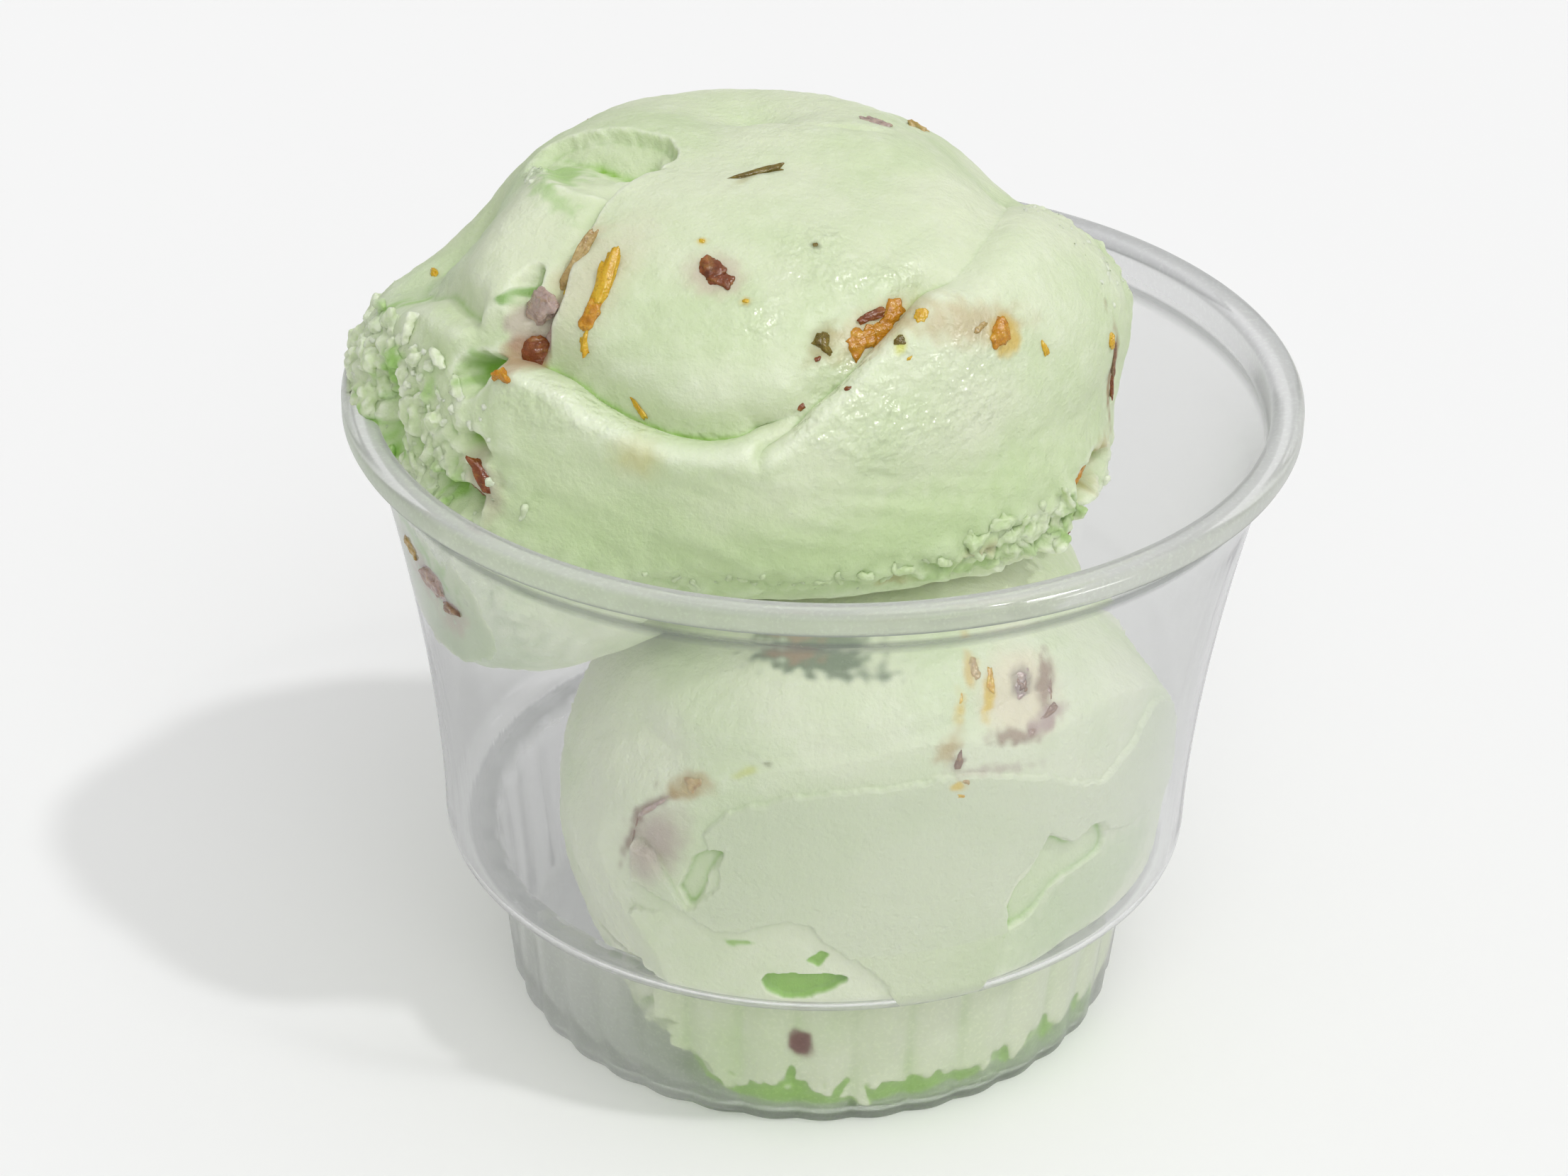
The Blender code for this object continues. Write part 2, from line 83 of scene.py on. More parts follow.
# %% Nodes written as expressions
class Value:
    """A socket of a node, with Python's operators."""

    def __init__(self, shader, socket):
        self.shader, self.socket = shader, socket

    def maths(self, operation, *others):
        inputs = {i: value for i, value in enumerate((self, *others))}
        return self.shader.node("ShaderNodeMath", {"operation": operation}, inputs)

    def __add__(self, other):
        return self.maths("ADD", other)

    __radd__ = __add__

    def __mul__(self, other):
        return self.maths("MULTIPLY", other)

    __rmul__ = __mul__

    def __sub__(self, other):
        return self.maths("SUBTRACT", other)

    def __rsub__(self, other):
        return (self * -1.0) + other

    def power(self, exponent):
        return self.maths("POWER", exponent)

    def ramp(self, low, high):
        """0 below low, 1 above high, eased between."""
        settings = {"interpolation_type": "SMOOTHSTEP"}
        return self.shader.node("ShaderNodeMapRange", settings, {0: self, 1: low, 2: high, 3: 0.0, 4: 1.0})


class Shader:
    """One material, or the world, and its nodes."""

    def __init__(self, name, kind="materials"):
        self.made = getattr(bpy.data, kind).new(name)
        self.made.use_nodes = True
        self.tree = self.made.node_tree
        self.tree.nodes.clear()

    def node(self, kind, settings=None, inputs=None, output=0):
        made = self.tree.nodes.new(kind)
        for name, value in (settings or {}).items():
            setattr(made, name, value)
        for name, value in (inputs or {}).items():
            if isinstance(value, Value):
                self.tree.links.new(value.socket, made.inputs[name])
            else:
                made.inputs[name].default_value = value
        return Value(self, made.outputs[output])

    def place(self, scale):
        """Object coordinates, times a scale for each axis."""
        at = self.node("ShaderNodeTexCoord", output="Object")
        return self.node("ShaderNodeVectorMath", {"operation": "MULTIPLY"}, {0: at, 1: scale})

    def noise(self, size, detail=3.0, roughness=0.55, stretch=(1.0, 1.0, 1.0)):
        """Noise of about 0.5, whose lumps are `size` millimetres across."""
        at = self.place(tuple(s / (size * MM) for s in stretch))
        inputs = {"Vector": at, "Scale": 1.0, "Detail": detail, "Roughness": roughness}
        return self.node("ShaderNodeTexNoise", {}, inputs)

    def mix(self, share, first, second):
        """Colours mixed: first where share is 0, second where it is 1."""
        settings = {"data_type": "RGBA"}
        return self.node("ShaderNodeMix", settings, {0: share, 6: first, 7: second}, output=2)

    def attribute(self, name, output="Fac"):
        return self.node("ShaderNodeAttribute", {"attribute_name": name}, output=output)

    def surface(self, value, kind="ShaderNodeOutputMaterial"):
        end = self.tree.nodes.new(kind)
        self.tree.links.new(value.socket, end.inputs["Surface"])
        return self.made


def rgb(red, green, blue):
    return (red, green, blue, 1.0)


# %% [markdown]
# The studio is a white sweep: the floor runs on past the picture's edge. Soft light comes from everywhere
# above, dimmer towards the horizon and the left, and a bright panel hangs in front and above, which lights
# the faces that the camera sees and gives the clear plastic something to mirror. One smaller, harder light
# from the front right gives the shadow at the left. It is a sun lamp, so that its shadow has the same soft
# edge everywhere, as wide as the lamp looks from the cup. A second lamp shows only in glossy reflections,
# where it makes the wet places glint.

# %% Floor
FLOOR_SIZE = 6.0  # metres

floor_bm = bmesh.new()
bmesh.ops.create_grid(floor_bm, x_segments=1, y_segments=1, size=FLOOR_SIZE / 2)
floor_mesh = bpy.data.meshes.new("floor")
floor_bm.to_mesh(floor_mesh)
floor_bm.free()
floor = bpy.data.objects.new("floor", floor_mesh)
bpy.context.scene.collection.objects.link(floor)
paper = Shader("white_paper")
paper_inputs = {"Base Color": rgb(0.9, 0.9, 0.9), "Roughness": 0.9, "Specular IOR Level": 0.1}
paper_look = paper.node("ShaderNodeBsdfPrincipled", {}, paper_inputs)
floor_mesh.materials.append(paper.surface(paper_look))

# %% Key light and sky
KEY_FROM = Vector((41.0, -24.0, 76.0))
KEY_STRENGTH = 0.68
KEY_WIDTH = math.radians(3.2)
SKY_LOW, SKY_HIGH = 0.24, 0.81  # brightness at the horizon and high up
PANEL_FROM = Vector((0.10, -0.72, 0.69)).normalized()
PANEL_BRIGHTNESS = 1.5
DIM_LEFT = 0.80  # the sky's brightness at the far left, as a share of that at the right
GLINT_FROM, GLINT_STRENGTH, GLINT_WIDTH = Vector((70.0, -45.0, 55.0)), 2.8, math.radians(12.0)


def hang_lamp(name, light_from, strength, width):
    lamp = bpy.data.lights.new(name, "SUN")
    lamp.energy = strength
    lamp.angle = width
    hung = bpy.data.objects.new(name, lamp)
    bpy.context.scene.collection.objects.link(hung)
    hung.matrix_world = light_from.to_track_quat("Z", "Y").to_matrix().to_4x4()
    return hung


hang_lamp("key", KEY_FROM, KEY_STRENGTH, KEY_WIDTH)
glint = hang_lamp("glint", GLINT_FROM, GLINT_STRENGTH, GLINT_WIDTH)
glint.visible_diffuse = False
glint.visible_transmission = False

studio = Shader("studio", "worlds")
way = studio.node("ShaderNodeTexCoord", output="Generated")
upwards = studio.node("ShaderNodeSeparateXYZ", {}, {0: way}, output="Z")
to_panel = studio.node(
    "ShaderNodeVectorMath", {"operation": "DOT_PRODUCT"}, {0: way, 1: PANEL_FROM}, output="Value"
)
rightwards = studio.node("ShaderNodeSeparateXYZ", {}, {0: way}, output="X")
sky_part = upwards.ramp(0.0, 0.85) * (SKY_HIGH - SKY_LOW) + SKY_LOW
brightness = sky_part * (rightwards.ramp(-0.9, 0.4) * (1 - DIM_LEFT) + DIM_LEFT)
brightness = brightness + to_panel.ramp(0.86, 0.93) * PANEL_BRIGHTNESS
sky = studio.node("ShaderNodeBackground", {}, {"Color": rgb(1.0, 1.0, 1.0), "Strength": brightness})
bpy.context.scene.world = studio.surface(sky, "ShaderNodeOutputWorld")

# %% [markdown]
# Every piece ends the same way: its bmesh goes from millimetres to metres, becomes an object at the origin,
# is shaded smooth, rides on the one body and gets the material that it is given. One function does it.


# %% Finish a piece
def finish_piece(name, bm, material, node=None, sharp=None):
    bmesh.ops.transform(bm, matrix=Matrix.Scale(MM, 4), verts=bm.verts)
    mesh = bpy.data.meshes.new(name)
    bm.to_mesh(mesh)
    bm.free()
    mesh.materials.append(material)
    mesh.shade_smooth()
    if sharp:
        mesh.set_sharp_from_angle(angle=math.radians(sharp))
    piece = bpy.data.objects.new(name, mesh)
    bpy.context.scene.collection.objects.link(piece)
    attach(piece, "root")
    if node:
        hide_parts(node)
    mesh.calc_loop_triangles()
    print(name, len(mesh.loop_triangles), "triangles")
    return piece


# %% [markdown]
# The cup is formed from one thin sheet, so its inside follows its outside: a flat rim whose edge is rolled
# down, a short neck that a lid grips, a flaring wall, a rounded shoulder and a straight foot with
# thirty-six soft flutes. It is a turned shape, so a profile is spun round the axis; the flutes push only
# the foot's rows out and in. Arcs in the profile get enough points that no highlight shows a corner.

# %% Sizes of the cup
RIM_RADIUS, RIM_TOP, RIM_BEAD, RIM_ROLL = 46.0, 66.3, 1.3, 2.1
NECK_RADIUS, LEDGE_Z = 43.5, 61.8
WALL_TOP_RADIUS, WALL_TOP_Z = 43.0, 60.6
WALL_LOW_RADIUS, WALL_FLARE = 37.4, 1.7
WALL_HEIGHT, WALL_ROWS = 41.0, 12
SHOULDER_Z, SHOULDER_ROUND = 17.2, 2.4
FOOT_TOP_RADIUS, FOOT_LOW_RADIUS = 32.4, 30.8
FOOT_HEEL, FOOT_STRAIGHT = 1.0, 15.2  # where the foot begins to widen, and over what height it does
WALL = 0.6
FLOOR_RAISE, FLOOR_RAISE_RADIUS, RING_INNER_RADIUS = 1.5, 25.5, 27.0
FLUTES, FLUTE_DEPTH, FIRST_FLUTE = 36, 0.5, math.radians(2.4)
CUP_STEPS = FLUTES * 8


def wall_radius(z):
    """Outside radius of the body's wall."""
    low = SHOULDER_Z + SHOULDER_ROUND
    share = np.clip((z - low) / (WALL_TOP_Z - low), 0.0, None)
    return WALL_LOW_RADIUS + (WALL_TOP_RADIUS - WALL_LOW_RADIUS) * share**WALL_FLARE


def arc(centre_r, centre_z, radius, start, end, pieces):
    """Points of an arc in the (radius, height) plane, angles in degrees."""
    turned = [math.radians(start + (end - start) * i / pieces) for i in range(pieces + 1)]
    return [(centre_r + radius * math.cos(a), centre_z + radius * math.sin(a), 0.0) for a in turned]


# %% The cup's profile
def cup_profile():
    """(radius, height, share of the flutes), from under the middle over the rim to the floor's middle."""
    shoulder_r, shoulder_z = WALL_LOW_RADIUS - SHOULDER_ROUND, SHOULDER_Z + SHOULDER_ROUND
    half = RIM_BEAD / 2
    wall_rows = [SHOULDER_Z + SHOULDER_ROUND + WALL_HEIGHT * i / WALL_ROWS for i in range(1, WALL_ROWS)]
    outside = [(0.0, FLOOR_RAISE, 0.0), (FLOOR_RAISE_RADIUS, FLOOR_RAISE, 0.0), (RING_INNER_RADIUS, 0.0, 0.0)]
    outside += [(FOOT_LOW_RADIUS - 0.9, 0.0, 0.8), (FOOT_LOW_RADIUS - 0.3, 0.3, 1.0)]
    outside += [(FOOT_LOW_RADIUS, FOOT_HEEL, 1.0)]
    outside += [(FOOT_LOW_RADIUS + 1.5 * s, FOOT_HEEL + 14.6 * s, 1.0) for s in (0.25, 0.5, 0.75, 0.9)]
    outside += [(FOOT_TOP_RADIUS, SHOULDER_Z - 1.0, 0.7), (FOOT_TOP_RADIUS + 0.6, SHOULDER_Z - 0.1, 0.2)]
    outside += arc(shoulder_r, shoulder_z, SHOULDER_ROUND, -90, 0, 8)
    outside += [(float(wall_radius(z)), z, 0.0) for z in wall_rows]
    outside += [(WALL_TOP_RADIUS, WALL_TOP_Z, 0.0), (NECK_RADIUS - 0.1, LEDGE_Z - 0.2, 0.0)]
    outside += [(NECK_RADIUS, LEDGE_Z + 0.2, 0.0), (NECK_RADIUS, LEDGE_Z + 0.55, 0.0)]
    outside += [(NECK_RADIUS, RIM_TOP - 1.4, 0.0), (NECK_RADIUS, RIM_TOP - 1.1, 0.0)]
    outside += [(NECK_RADIUS + 0.35, RIM_TOP - 0.7, 0.0), (RIM_RADIUS - 1.0, RIM_TOP - 0.7, 0.0)]
    outside += [(RIM_RADIUS - 0.7, RIM_TOP - 1.0, 0.0), (RIM_RADIUS - 0.65, RIM_TOP - RIM_ROLL + 0.3, 0.0)]
    outside += [(RIM_RADIUS - 0.5, RIM_TOP - RIM_ROLL, 0.0), (RIM_RADIUS - 0.15, RIM_TOP - RIM_ROLL, 0.0)]
    outside += [(RIM_RADIUS, RIM_TOP - RIM_ROLL + 0.3, 0.0)]
    outside += arc(RIM_RADIUS - half, RIM_TOP - half, half, 0, 90, 6)
    inside = arc(NECK_RADIUS + 0.4, RIM_TOP - 1.0, 1.0, 90, 180, 5)
    inside += [(NECK_RADIUS - WALL, LEDGE_Z + 0.3, 0.0), (NECK_RADIUS - WALL - 0.1, LEDGE_Z - 0.1, 0.0)]
    inside += [(WALL_TOP_RADIUS - WALL, WALL_TOP_Z - 0.2, 0.0)]
    inside += [(float(wall_radius(z)) - WALL, z, 0.0) for z in reversed(wall_rows)]
    inside += reversed(arc(shoulder_r, shoulder_z, SHOULDER_ROUND - WALL, -80, 0, 6))
    inside += [(FOOT_TOP_RADIUS + 0.2, SHOULDER_Z + WALL - 0.1, 0.2)]
    inside += [(FOOT_TOP_RADIUS - WALL, SHOULDER_Z - 1.0, 0.7)]
    inside += [(FOOT_LOW_RADIUS - WALL + 1.5 * s, 1.4 + 14.2 * s, 1.0) for s in (0.9, 0.75, 0.5, 0.25, 0.0)]
    inside += [(FOOT_LOW_RADIUS - 1.4, WALL + 0.2, 0.8), (RING_INNER_RADIUS, WALL + 0.2, 0.0)]
    inside += [(FLOOR_RAISE_RADIUS - 0.4, FLOOR_RAISE + WALL, 0.0), (0.0, FLOOR_RAISE + WALL, 0.0)]
    return outside + inside


# %% Turn the profile and press the flutes
def turned(profile, steps):
    """A closed solid of revolution about Z. Profile points on the axis become the poles."""
    bm = bmesh.new()
    share = bm.verts.layers.float.new("flutes")
    chain = [bm.verts.new((0.0, -r, z)) for r, z, _ in profile]
    for vert, (_, _, flutes) in zip(chain, profile):
        vert[share] = flutes
    edges = [bm.edges.new(pair) for pair in zip(chain, chain[1:])]
    bmesh.ops.spin(
        bm, geom=chain + edges, cent=(0, 0, 0), axis=(0, 0, 1), angle=math.tau, steps=steps, use_merge=True
    )
    bmesh.ops.remove_doubles(bm, verts=bm.verts, dist=1e-4)
    bmesh.ops.recalc_face_normals(bm, faces=bm.faces)
    return bm


def flute_wave(around):
    """1 on a flute's crest and about -1 in its groove, at an angle from the front."""
    return 2.0 * np.sqrt(np.cos(FLUTES / 2 * (around - FIRST_FLUTE)) ** 2 + 0.04) - 1.04


def press_flutes(bm):
    share = bm.verts.layers.float["flutes"]
    for vert in bm.verts:
        if vert[share] > 0:
            radius = math.hypot(vert.co.x, vert.co.y)
            wave = flute_wave(math.atan2(vert.co.x, -vert.co.y))
            vert.co.xy *= 1 + vert[share] * FLUTE_DEPTH / 2 * wave / radius


# %% [markdown]
# Clear plastic is glass with a slightly lower shine: light passes through it, bends a little and is lost at
# the edges. Real caustics would take far too long to render, so the wall lets light for shadows and for the
# gelato pass straight through, a little dimmed, and only the camera's own rays are bent. Where the sheet is
# seen at a slant it looks hazy and grey. The rim is stiffer and milky, because the sheet is doubled and
# worn there. The sheet was drawn when it was formed, which left faint upright streaks; they are a bump that
# is long up and narrow around. Three attributes of the points say how milky each row of the profile is,
# where the sheet is bent sharply, which gets a fine dark line of painted shade for the dark edge that a bend
# shows, and how much grey is painted on the far wall as shade, for the darker things that it mirrors and
# shows through.


# %% How milky the sheet is
MILKY_RIM, MILKY_NECK, MILKY_FOOT, MILKY_WALL = 0.74, 0.22, 0.6, 0.0
# The smoky look of the far wall is painted shade: grey laid on the far half of the wall.
FAR_SHADE_FROM, FAR_SHADE_DEPTH = -5.0, 30.0  # where the smoky look begins, from front to back, and over how many mm
# Rows where the sheet bends sharply get a fine dark line of painted shade.
BENDS = (LEDGE_Z - 0.2, LEDGE_Z + 0.2, RIM_TOP - 1.1, RIM_TOP - RIM_ROLL, SHOULDER_Z - 0.1, SHOULDER_Z)


def paint(bm, name, values):
    layer = bm.verts.layers.float.new(name)
    for vert, value in zip(bm.verts, values):
        vert[layer] = value


def milkiness(z, radius):
    if z > RIM_TOP - 1.05 or radius > RIM_RADIUS - 1.2:
        return MILKY_RIM
    if z > LEDGE_Z - 0.6:
        return MILKY_NECK
    return MILKY_FOOT if z < SHOULDER_Z else MILKY_WALL


def bent(z):
    return 1.0 if min(abs(z - bend) for bend in BENDS) < 0.02 else 0.0


# Painted shade on the far wall: 0 at the front, rising to 1 towards the back, above the foot.
def far_wall_shade_at(y, z):
    return min(max((y - FAR_SHADE_FROM) / FAR_SHADE_DEPTH, 0.0), 1.0) * (z > SHOULDER_Z)


# %% Clear plastic
def clear_plastic():
    s = Shader("clear_plastic")
    streaks = s.noise(2.6, detail=3.0, stretch=(1.0, 1.0, 0.05))
    waves = s.noise(16.0, detail=1.0, stretch=(1.0, 1.0, 0.5))
    height = streaks * 0.10 + waves * 1.0
    bump = s.node("ShaderNodeBump", {}, {"Strength": 0.22, "Distance": 0.0004, "Height": height})
    specks = s.noise(0.45, detail=3.0).ramp(0.48, 0.72)
    milky = s.attribute("milky")
    glass = s.node(
        "ShaderNodeBsdfPrincipled",
        {},
        {
            "Base Color": rgb(0.985, 0.985, 0.99),
            "Roughness": milky * 0.07 + 0.02,
            "IOR": 1.47,
            "Transmission Weight": 1.0,
            "Normal": bump,
        },
    )
    slant = s.node("ShaderNodeLayerWeight", {}, {"Blend": 0.5}, output="Facing")
    grey = s.node("ShaderNodeBsdfDiffuse", {}, {"Color": rgb(0.52, 0.52, 0.54)})
    white = s.node("ShaderNodeBsdfTranslucent", {}, {"Color": rgb(0.92, 0.92, 0.93)})
    # Slant haze, and painted shade on the far wall from the smoky attribute.
    haze_and_far_shade = slant.power(1.6) * 0.42 + s.attribute("far_wall_shade") * 0.10 + 0.005
    hazy_with_far_shade = s.node("ShaderNodeMixShader", {}, {0: haze_and_far_shade, 1: glass, 2: grey})
    worn_with_painted_shade = s.node("ShaderNodeMixShader", {}, {0: milky * (specks * 0.06 + 0.40), 1: hazy_with_far_shade, 2: white})
    # Painted shade: a dark diffuse line on the sharp bends.
    bend_shade_line = s.node("ShaderNodeBsdfDiffuse", {}, {"Color": rgb(0.16, 0.18, 0.17)})
    worn_with_painted_shade = s.node("ShaderNodeMixShader", {}, {0: s.attribute("bend") * 0.5, 1: worn_with_painted_shade, 2: bend_shade_line})
    clear = s.node("ShaderNodeBsdfTransparent", {}, {"Color": rgb(0.995, 0.995, 1.0)})
    dark = s.node("ShaderNodeBsdfDiffuse", {}, {"Color": rgb(0.05, 0.05, 0.05)})
    dimmed = slant.power(5.0) * 0.35 + milky * 0.03
    passing = s.node("ShaderNodeMixShader", {}, {0: dimmed, 1: clear, 2: dark})
    shadow = s.node("ShaderNodeLightPath", output="Is Shadow Ray")
    diffuse = s.node("ShaderNodeLightPath", output="Is Diffuse Ray")
    seen = s.node("ShaderNodeMixShader", {}, {0: diffuse, 1: worn_with_painted_shade, 2: passing})
    return s.surface(s.node("ShaderNodeMixShader", {}, {0: shadow, 1: seen, 2: passing}))


# %% The cup
cup_bm = turned(cup_profile(), CUP_STEPS)
press_flutes(cup_bm)
paint(cup_bm, "milky", [milkiness(v.co.z, math.hypot(v.co.x, v.co.y)) for v in cup_bm.verts])
paint(cup_bm, "bend", [bent(v.co.z) for v in cup_bm.verts])
paint(cup_bm, "far_wall_shade", [far_wall_shade_at(v.co.y, v.co.z) for v in cup_bm.verts])
finish_piece("cup_shell", cup_bm, clear_plastic(), node="cup", sharp=60)

# %% [markdown]
# A scoop is a ball that was rolled up from a ribbon of gelato: a round mass with folds running over it.
# Each one starts as an icosphere, whose points move out or in along their own direction. A table gives how
# far the surface lies from the scoop's centre in some directions (longitude 0 is the front, latitude grows
# upwards), and the distances between are eased with Gaussians. Folds follow smooth curves on the ball.

# %% Directions and eased distances
TYPICAL_DISTANCE = 30.0
DISTANCE_SPREAD = math.radians(24.0)


def direction(longitude, latitude):
    lon, lat = math.radians(longitude), math.radians(latitude)
    return np.array([math.sin(lon) * math.cos(lat), -math.cos(lon) * math.cos(lat), math.sin(lat)])


def ramp(values, low, high):
    t = np.clip((values - low) / (high - low), 0, 1)
    return t * t * (3 - 2 * t)


def smooth_distance(towards, distances):
    """Distance from the centre in each direction, eased between the listed ones."""
    given = np.array([direction(lon, lat) for lon, lat, _ in distances])
    wanted = np.array([mm for _, _, mm in distances])

    def likeness(a):
        return np.exp(-((np.arccos(np.clip(a @ given.T, -1, 1)) / DISTANCE_SPREAD) ** 2))

    weights = np.linalg.solve(likeness(given) + 0.02 * np.eye(len(given)), wanted - TYPICAL_DISTANCE)
    return TYPICAL_DISTANCE + likeness(towards) @ weights


# %% Curves on the ball, and how far a point lies from one
def smooth_curve(points, pieces=8):
    """Unit directions along a Catmull-Rom curve through (longitude, latitude) points."""
    given = [direction(*p) for p in points]
    given = [2 * given[0] - given[1], *given, 2 * given[-1] - given[-2]]
    found = []
    for a, b, c, d in zip(given, given[1:], given[2:], given[3:]):
        for i in range(pieces):
            t = i / pieces
            cubic = (3 * b - a - 3 * c + d) * t**3
            found.append(0.5 * (2 * b + (c - a) * t + (2 * a - 5 * b + 4 * c - d) * t**2 + cubic))
    found.append(given[-2])
    curve = np.array(found)
    return curve / np.linalg.norm(curve, axis=1)[:, None]


def from_curve(towards, curve):
    """(mm away from the curve, side of it, share of the way along it, way towards it) for each direction."""
    start, step = curve[:-1], np.diff(curve, axis=0)
    found = []
    for some in np.array_split(towards, len(towards) // 8000 + 1):
        along = ((some @ step.T) - (start * step).sum(1)) / (step**2).sum(1)
        along = np.clip(along, 0, 1)
        gap = some[:, None] - start - along[..., None] * step
        nearest = np.argmin((gap**2).sum(2), axis=1)
        pick = np.arange(len(some)), nearest
        away = np.linalg.norm(gap[pick], axis=1)
        side = np.sign((np.cross(step[nearest], gap[pick]) * start[nearest]).sum(1))
        to_curve = -gap[pick] / np.maximum(away, 1e-9)[:, None]
        found.append((away * TYPICAL_DISTANCE, side, (nearest + along[pick]) / len(step), to_curve))
    return tuple(np.concatenate(column) for column in zip(*found))


def within(towards, outline):
    """How many mm each direction lies inside a closed outline; negative outside it."""
    curve = smooth_curve((*outline, outline[0]), 4)
    turning = np.sign(np.cross(curve[:-1], curve[1:]).sum(0) @ curve.mean(0))
    away, side, _, _ = from_curve(towards, curve)
    centre = curve.mean(0)
    near = np.linalg.norm(towards - centre, axis=1) < np.linalg.norm(curve - centre, axis=1).max()
    return np.where(near, away * side * turning, -away)


def patch(towards, longitude, latitude, across, up):
    """1 in the middle of an oval patch, falling smoothly to 0 at about twice its half widths."""
    lon = np.degrees(np.arctan2(towards[:, 0], -towards[:, 1]))
    lat = np.degrees(np.arcsin(np.clip(towards[:, 2], -1, 1)))
    turn = (lon - longitude + 180) % 360 - 180
    turn *= np.cos(np.radians(lat)) / max(math.cos(math.radians(latitude)), 0.3)
    return np.exp(-((turn / across) ** 2 + ((lat - latitude) / up) ** 2))


def noises(points, size, seed=0.0):
    """Smooth noise from -1 to 1 at each point, with lumps of that size in mm."""
    shift = Vector((seed, seed * 0.7, -seed))
    return np.array([noise.noise(Vector(p) / size + shift) for p in points])


# %% [markdown]
# Along a fold the gelato dips into a narrow crease on one side and rises to a rounded lip on the other, and
# the lip leans over the crease. So a fold does two things to the points near its curve: it moves them in or
# out by a groove and a lip, and it slides those of the lip sideways, over the crease.


# %% Folds
def fold(towards, curve_points, depth, under, over, lip, lip_width, over_side, lean=0.0):
    """(height in mm, sideways move in mm) of one fold for each direction."""
    away, side, share, to_curve = from_curve(towards, smooth_curve(curve_points))
    ends = ramp(share, 0, 0.14) * ramp(1 - share, 0, 0.14)
    is_over = side == over_side
    groove = np.exp(-((away / np.where(is_over, over, under)) ** 2))
    rise = np.where(is_over, (1 - groove) * np.exp(-((away / lip_width) ** 2)), 0)
    height = ends * (lip * rise - depth * groove)
    slide = np.where(is_over, ends * lean * (away / 1.5) * np.exp(1 - away / 1.5) * (away < 9), 0)
    return height, to_curve * slide[:, None]


def folded(towards, folds):
    height, move = np.zeros(len(towards)), np.zeros((len(towards), 3))
    for one in folds:
        up, sideways = fold(towards, *one)
        height += up
        move += sideways
    return height, move


# %% [markdown]
# Where the spoon tore the gelato off, it is rough: blunt lumps with sharp cracks between them, and smaller
# lumps on those. Noise that is folded at zero has just that shape, because its valleys become sharp. The
# points also shift sideways a little, so that the lumps lean over each other.


# %% Torn gelato
WRINKLED, WRINKLE_SLOPE, WRINKLE_HEIGHT = (2, -6, 50, 11), 17.0, 0.34
noise.seed_set(1)  # noise_vector starts from the clock otherwise


def lumps(points, size, seed):
    """Round lumps with sharp cracks between them, from about -1 to 1."""
    return 3.2 * np.abs(noises(points, size, seed)) - 0.9


def torn_shift(points, seed):
    """How far torn gelato moves: outwards, in mm, and sideways as a vector."""
    out = 0.75 * lumps(points, 3.4, seed) + 0.50 * lumps(points, 1.7, seed + 3.0)
    out += 0.22 * lumps(points, 0.85, seed + 7.0)
    sideways = np.array([noise.noise_vector(Vector(p) / 1.9 + Vector((seed, 0, 0))) for p in points])
    return out, sideways * 0.55


def wrinkles(points, slope):
    """Long low wrinkles that run to the right and down at `slope` degrees, seen from the front."""
    c, s = math.cos(math.radians(slope)), math.sin(math.radians(slope))
    x, y, z = points.T
    along, across = x * c - z * s, x * s + z * c
    return noises(np.stack((along / 5.0, y / 3.0, across), axis=1), 1.3, 41.0)


def scoop_points(towards, centre, distances, folds, swellings, torn, seed):
    """The gelato's surface: one point for each direction from the centre."""
    height, move = folded(towards, folds)
    height += smooth_distance(towards, distances)
    for lon, lat, across, up, rise in swellings:
        height += rise * patch(towards, lon, lat, across, up)
    points = np.array(centre) + towards * height[:, None] + move
    rough = sum(size * patch(towards, *place, across, up) for *place, across, up, size in torn)
    bumps = 0.4 * noises(points, 12.0) + 0.14 * noises(points, 3.0, 5.0) + 0.09 * noises(points, 1.2, 9.0)
    bumps += WRINKLE_HEIGHT * patch(towards, *WRINKLED) * wrinkles(points, WRINKLE_SLOPE)
    is_torn = rough > 0.02
    out, sideways = torn_shift(points[is_torn], seed)
    bumps[is_torn] += rough[is_torn] * out
    points[is_torn] += rough[is_torn, None] * sideways
    return points + towards * bumps[:, None]


# %% [markdown]
# A scoop needs fine faces only where something small shows: along its creases and where it is torn. So the
# icosphere is split again there, and each new point is moved back on to the ball before the shape is given.


# %% A ball that is finer where it has to be
def ball(rounds, *wishes):
    """An icosphere of radius 1, split again for each wish, where wish(directions) is true."""
    bm = bmesh.new()
    bmesh.ops.create_icosphere(bm, subdivisions=rounds, radius=1.0)
    for wanted in wishes:
        middles = np.array([f.calc_center_median() for f in bm.faces])
        middles /= np.linalg.norm(middles, axis=1)[:, None]
        chosen = wanted(middles)
        edges = {e for f, yes in zip(bm.faces, chosen) if yes for e in f.edges}
        bmesh.ops.subdivide_edges(bm, edges=list(edges), cuts=1, use_grid_fill=True)
        for vert in bm.verts:
            vert.co.normalize()
    bmesh.ops.triangulate(bm, faces=[f for f in bm.faces if len(f.verts) > 3])
    return bm, np.array([v.co for v in bm.verts])


def place(bm, points):
    for vert, point in zip(bm.verts, points):
        vert.co = point
    bm.normal_update()


def near_folds(towards, folds, reach):
    """True within reach mm of any fold's curve."""
    found = np.zeros(len(towards), bool)
    for one in folds:
        found |= from_curve(towards, smooth_curve(one[0]))[0] < reach
    return found
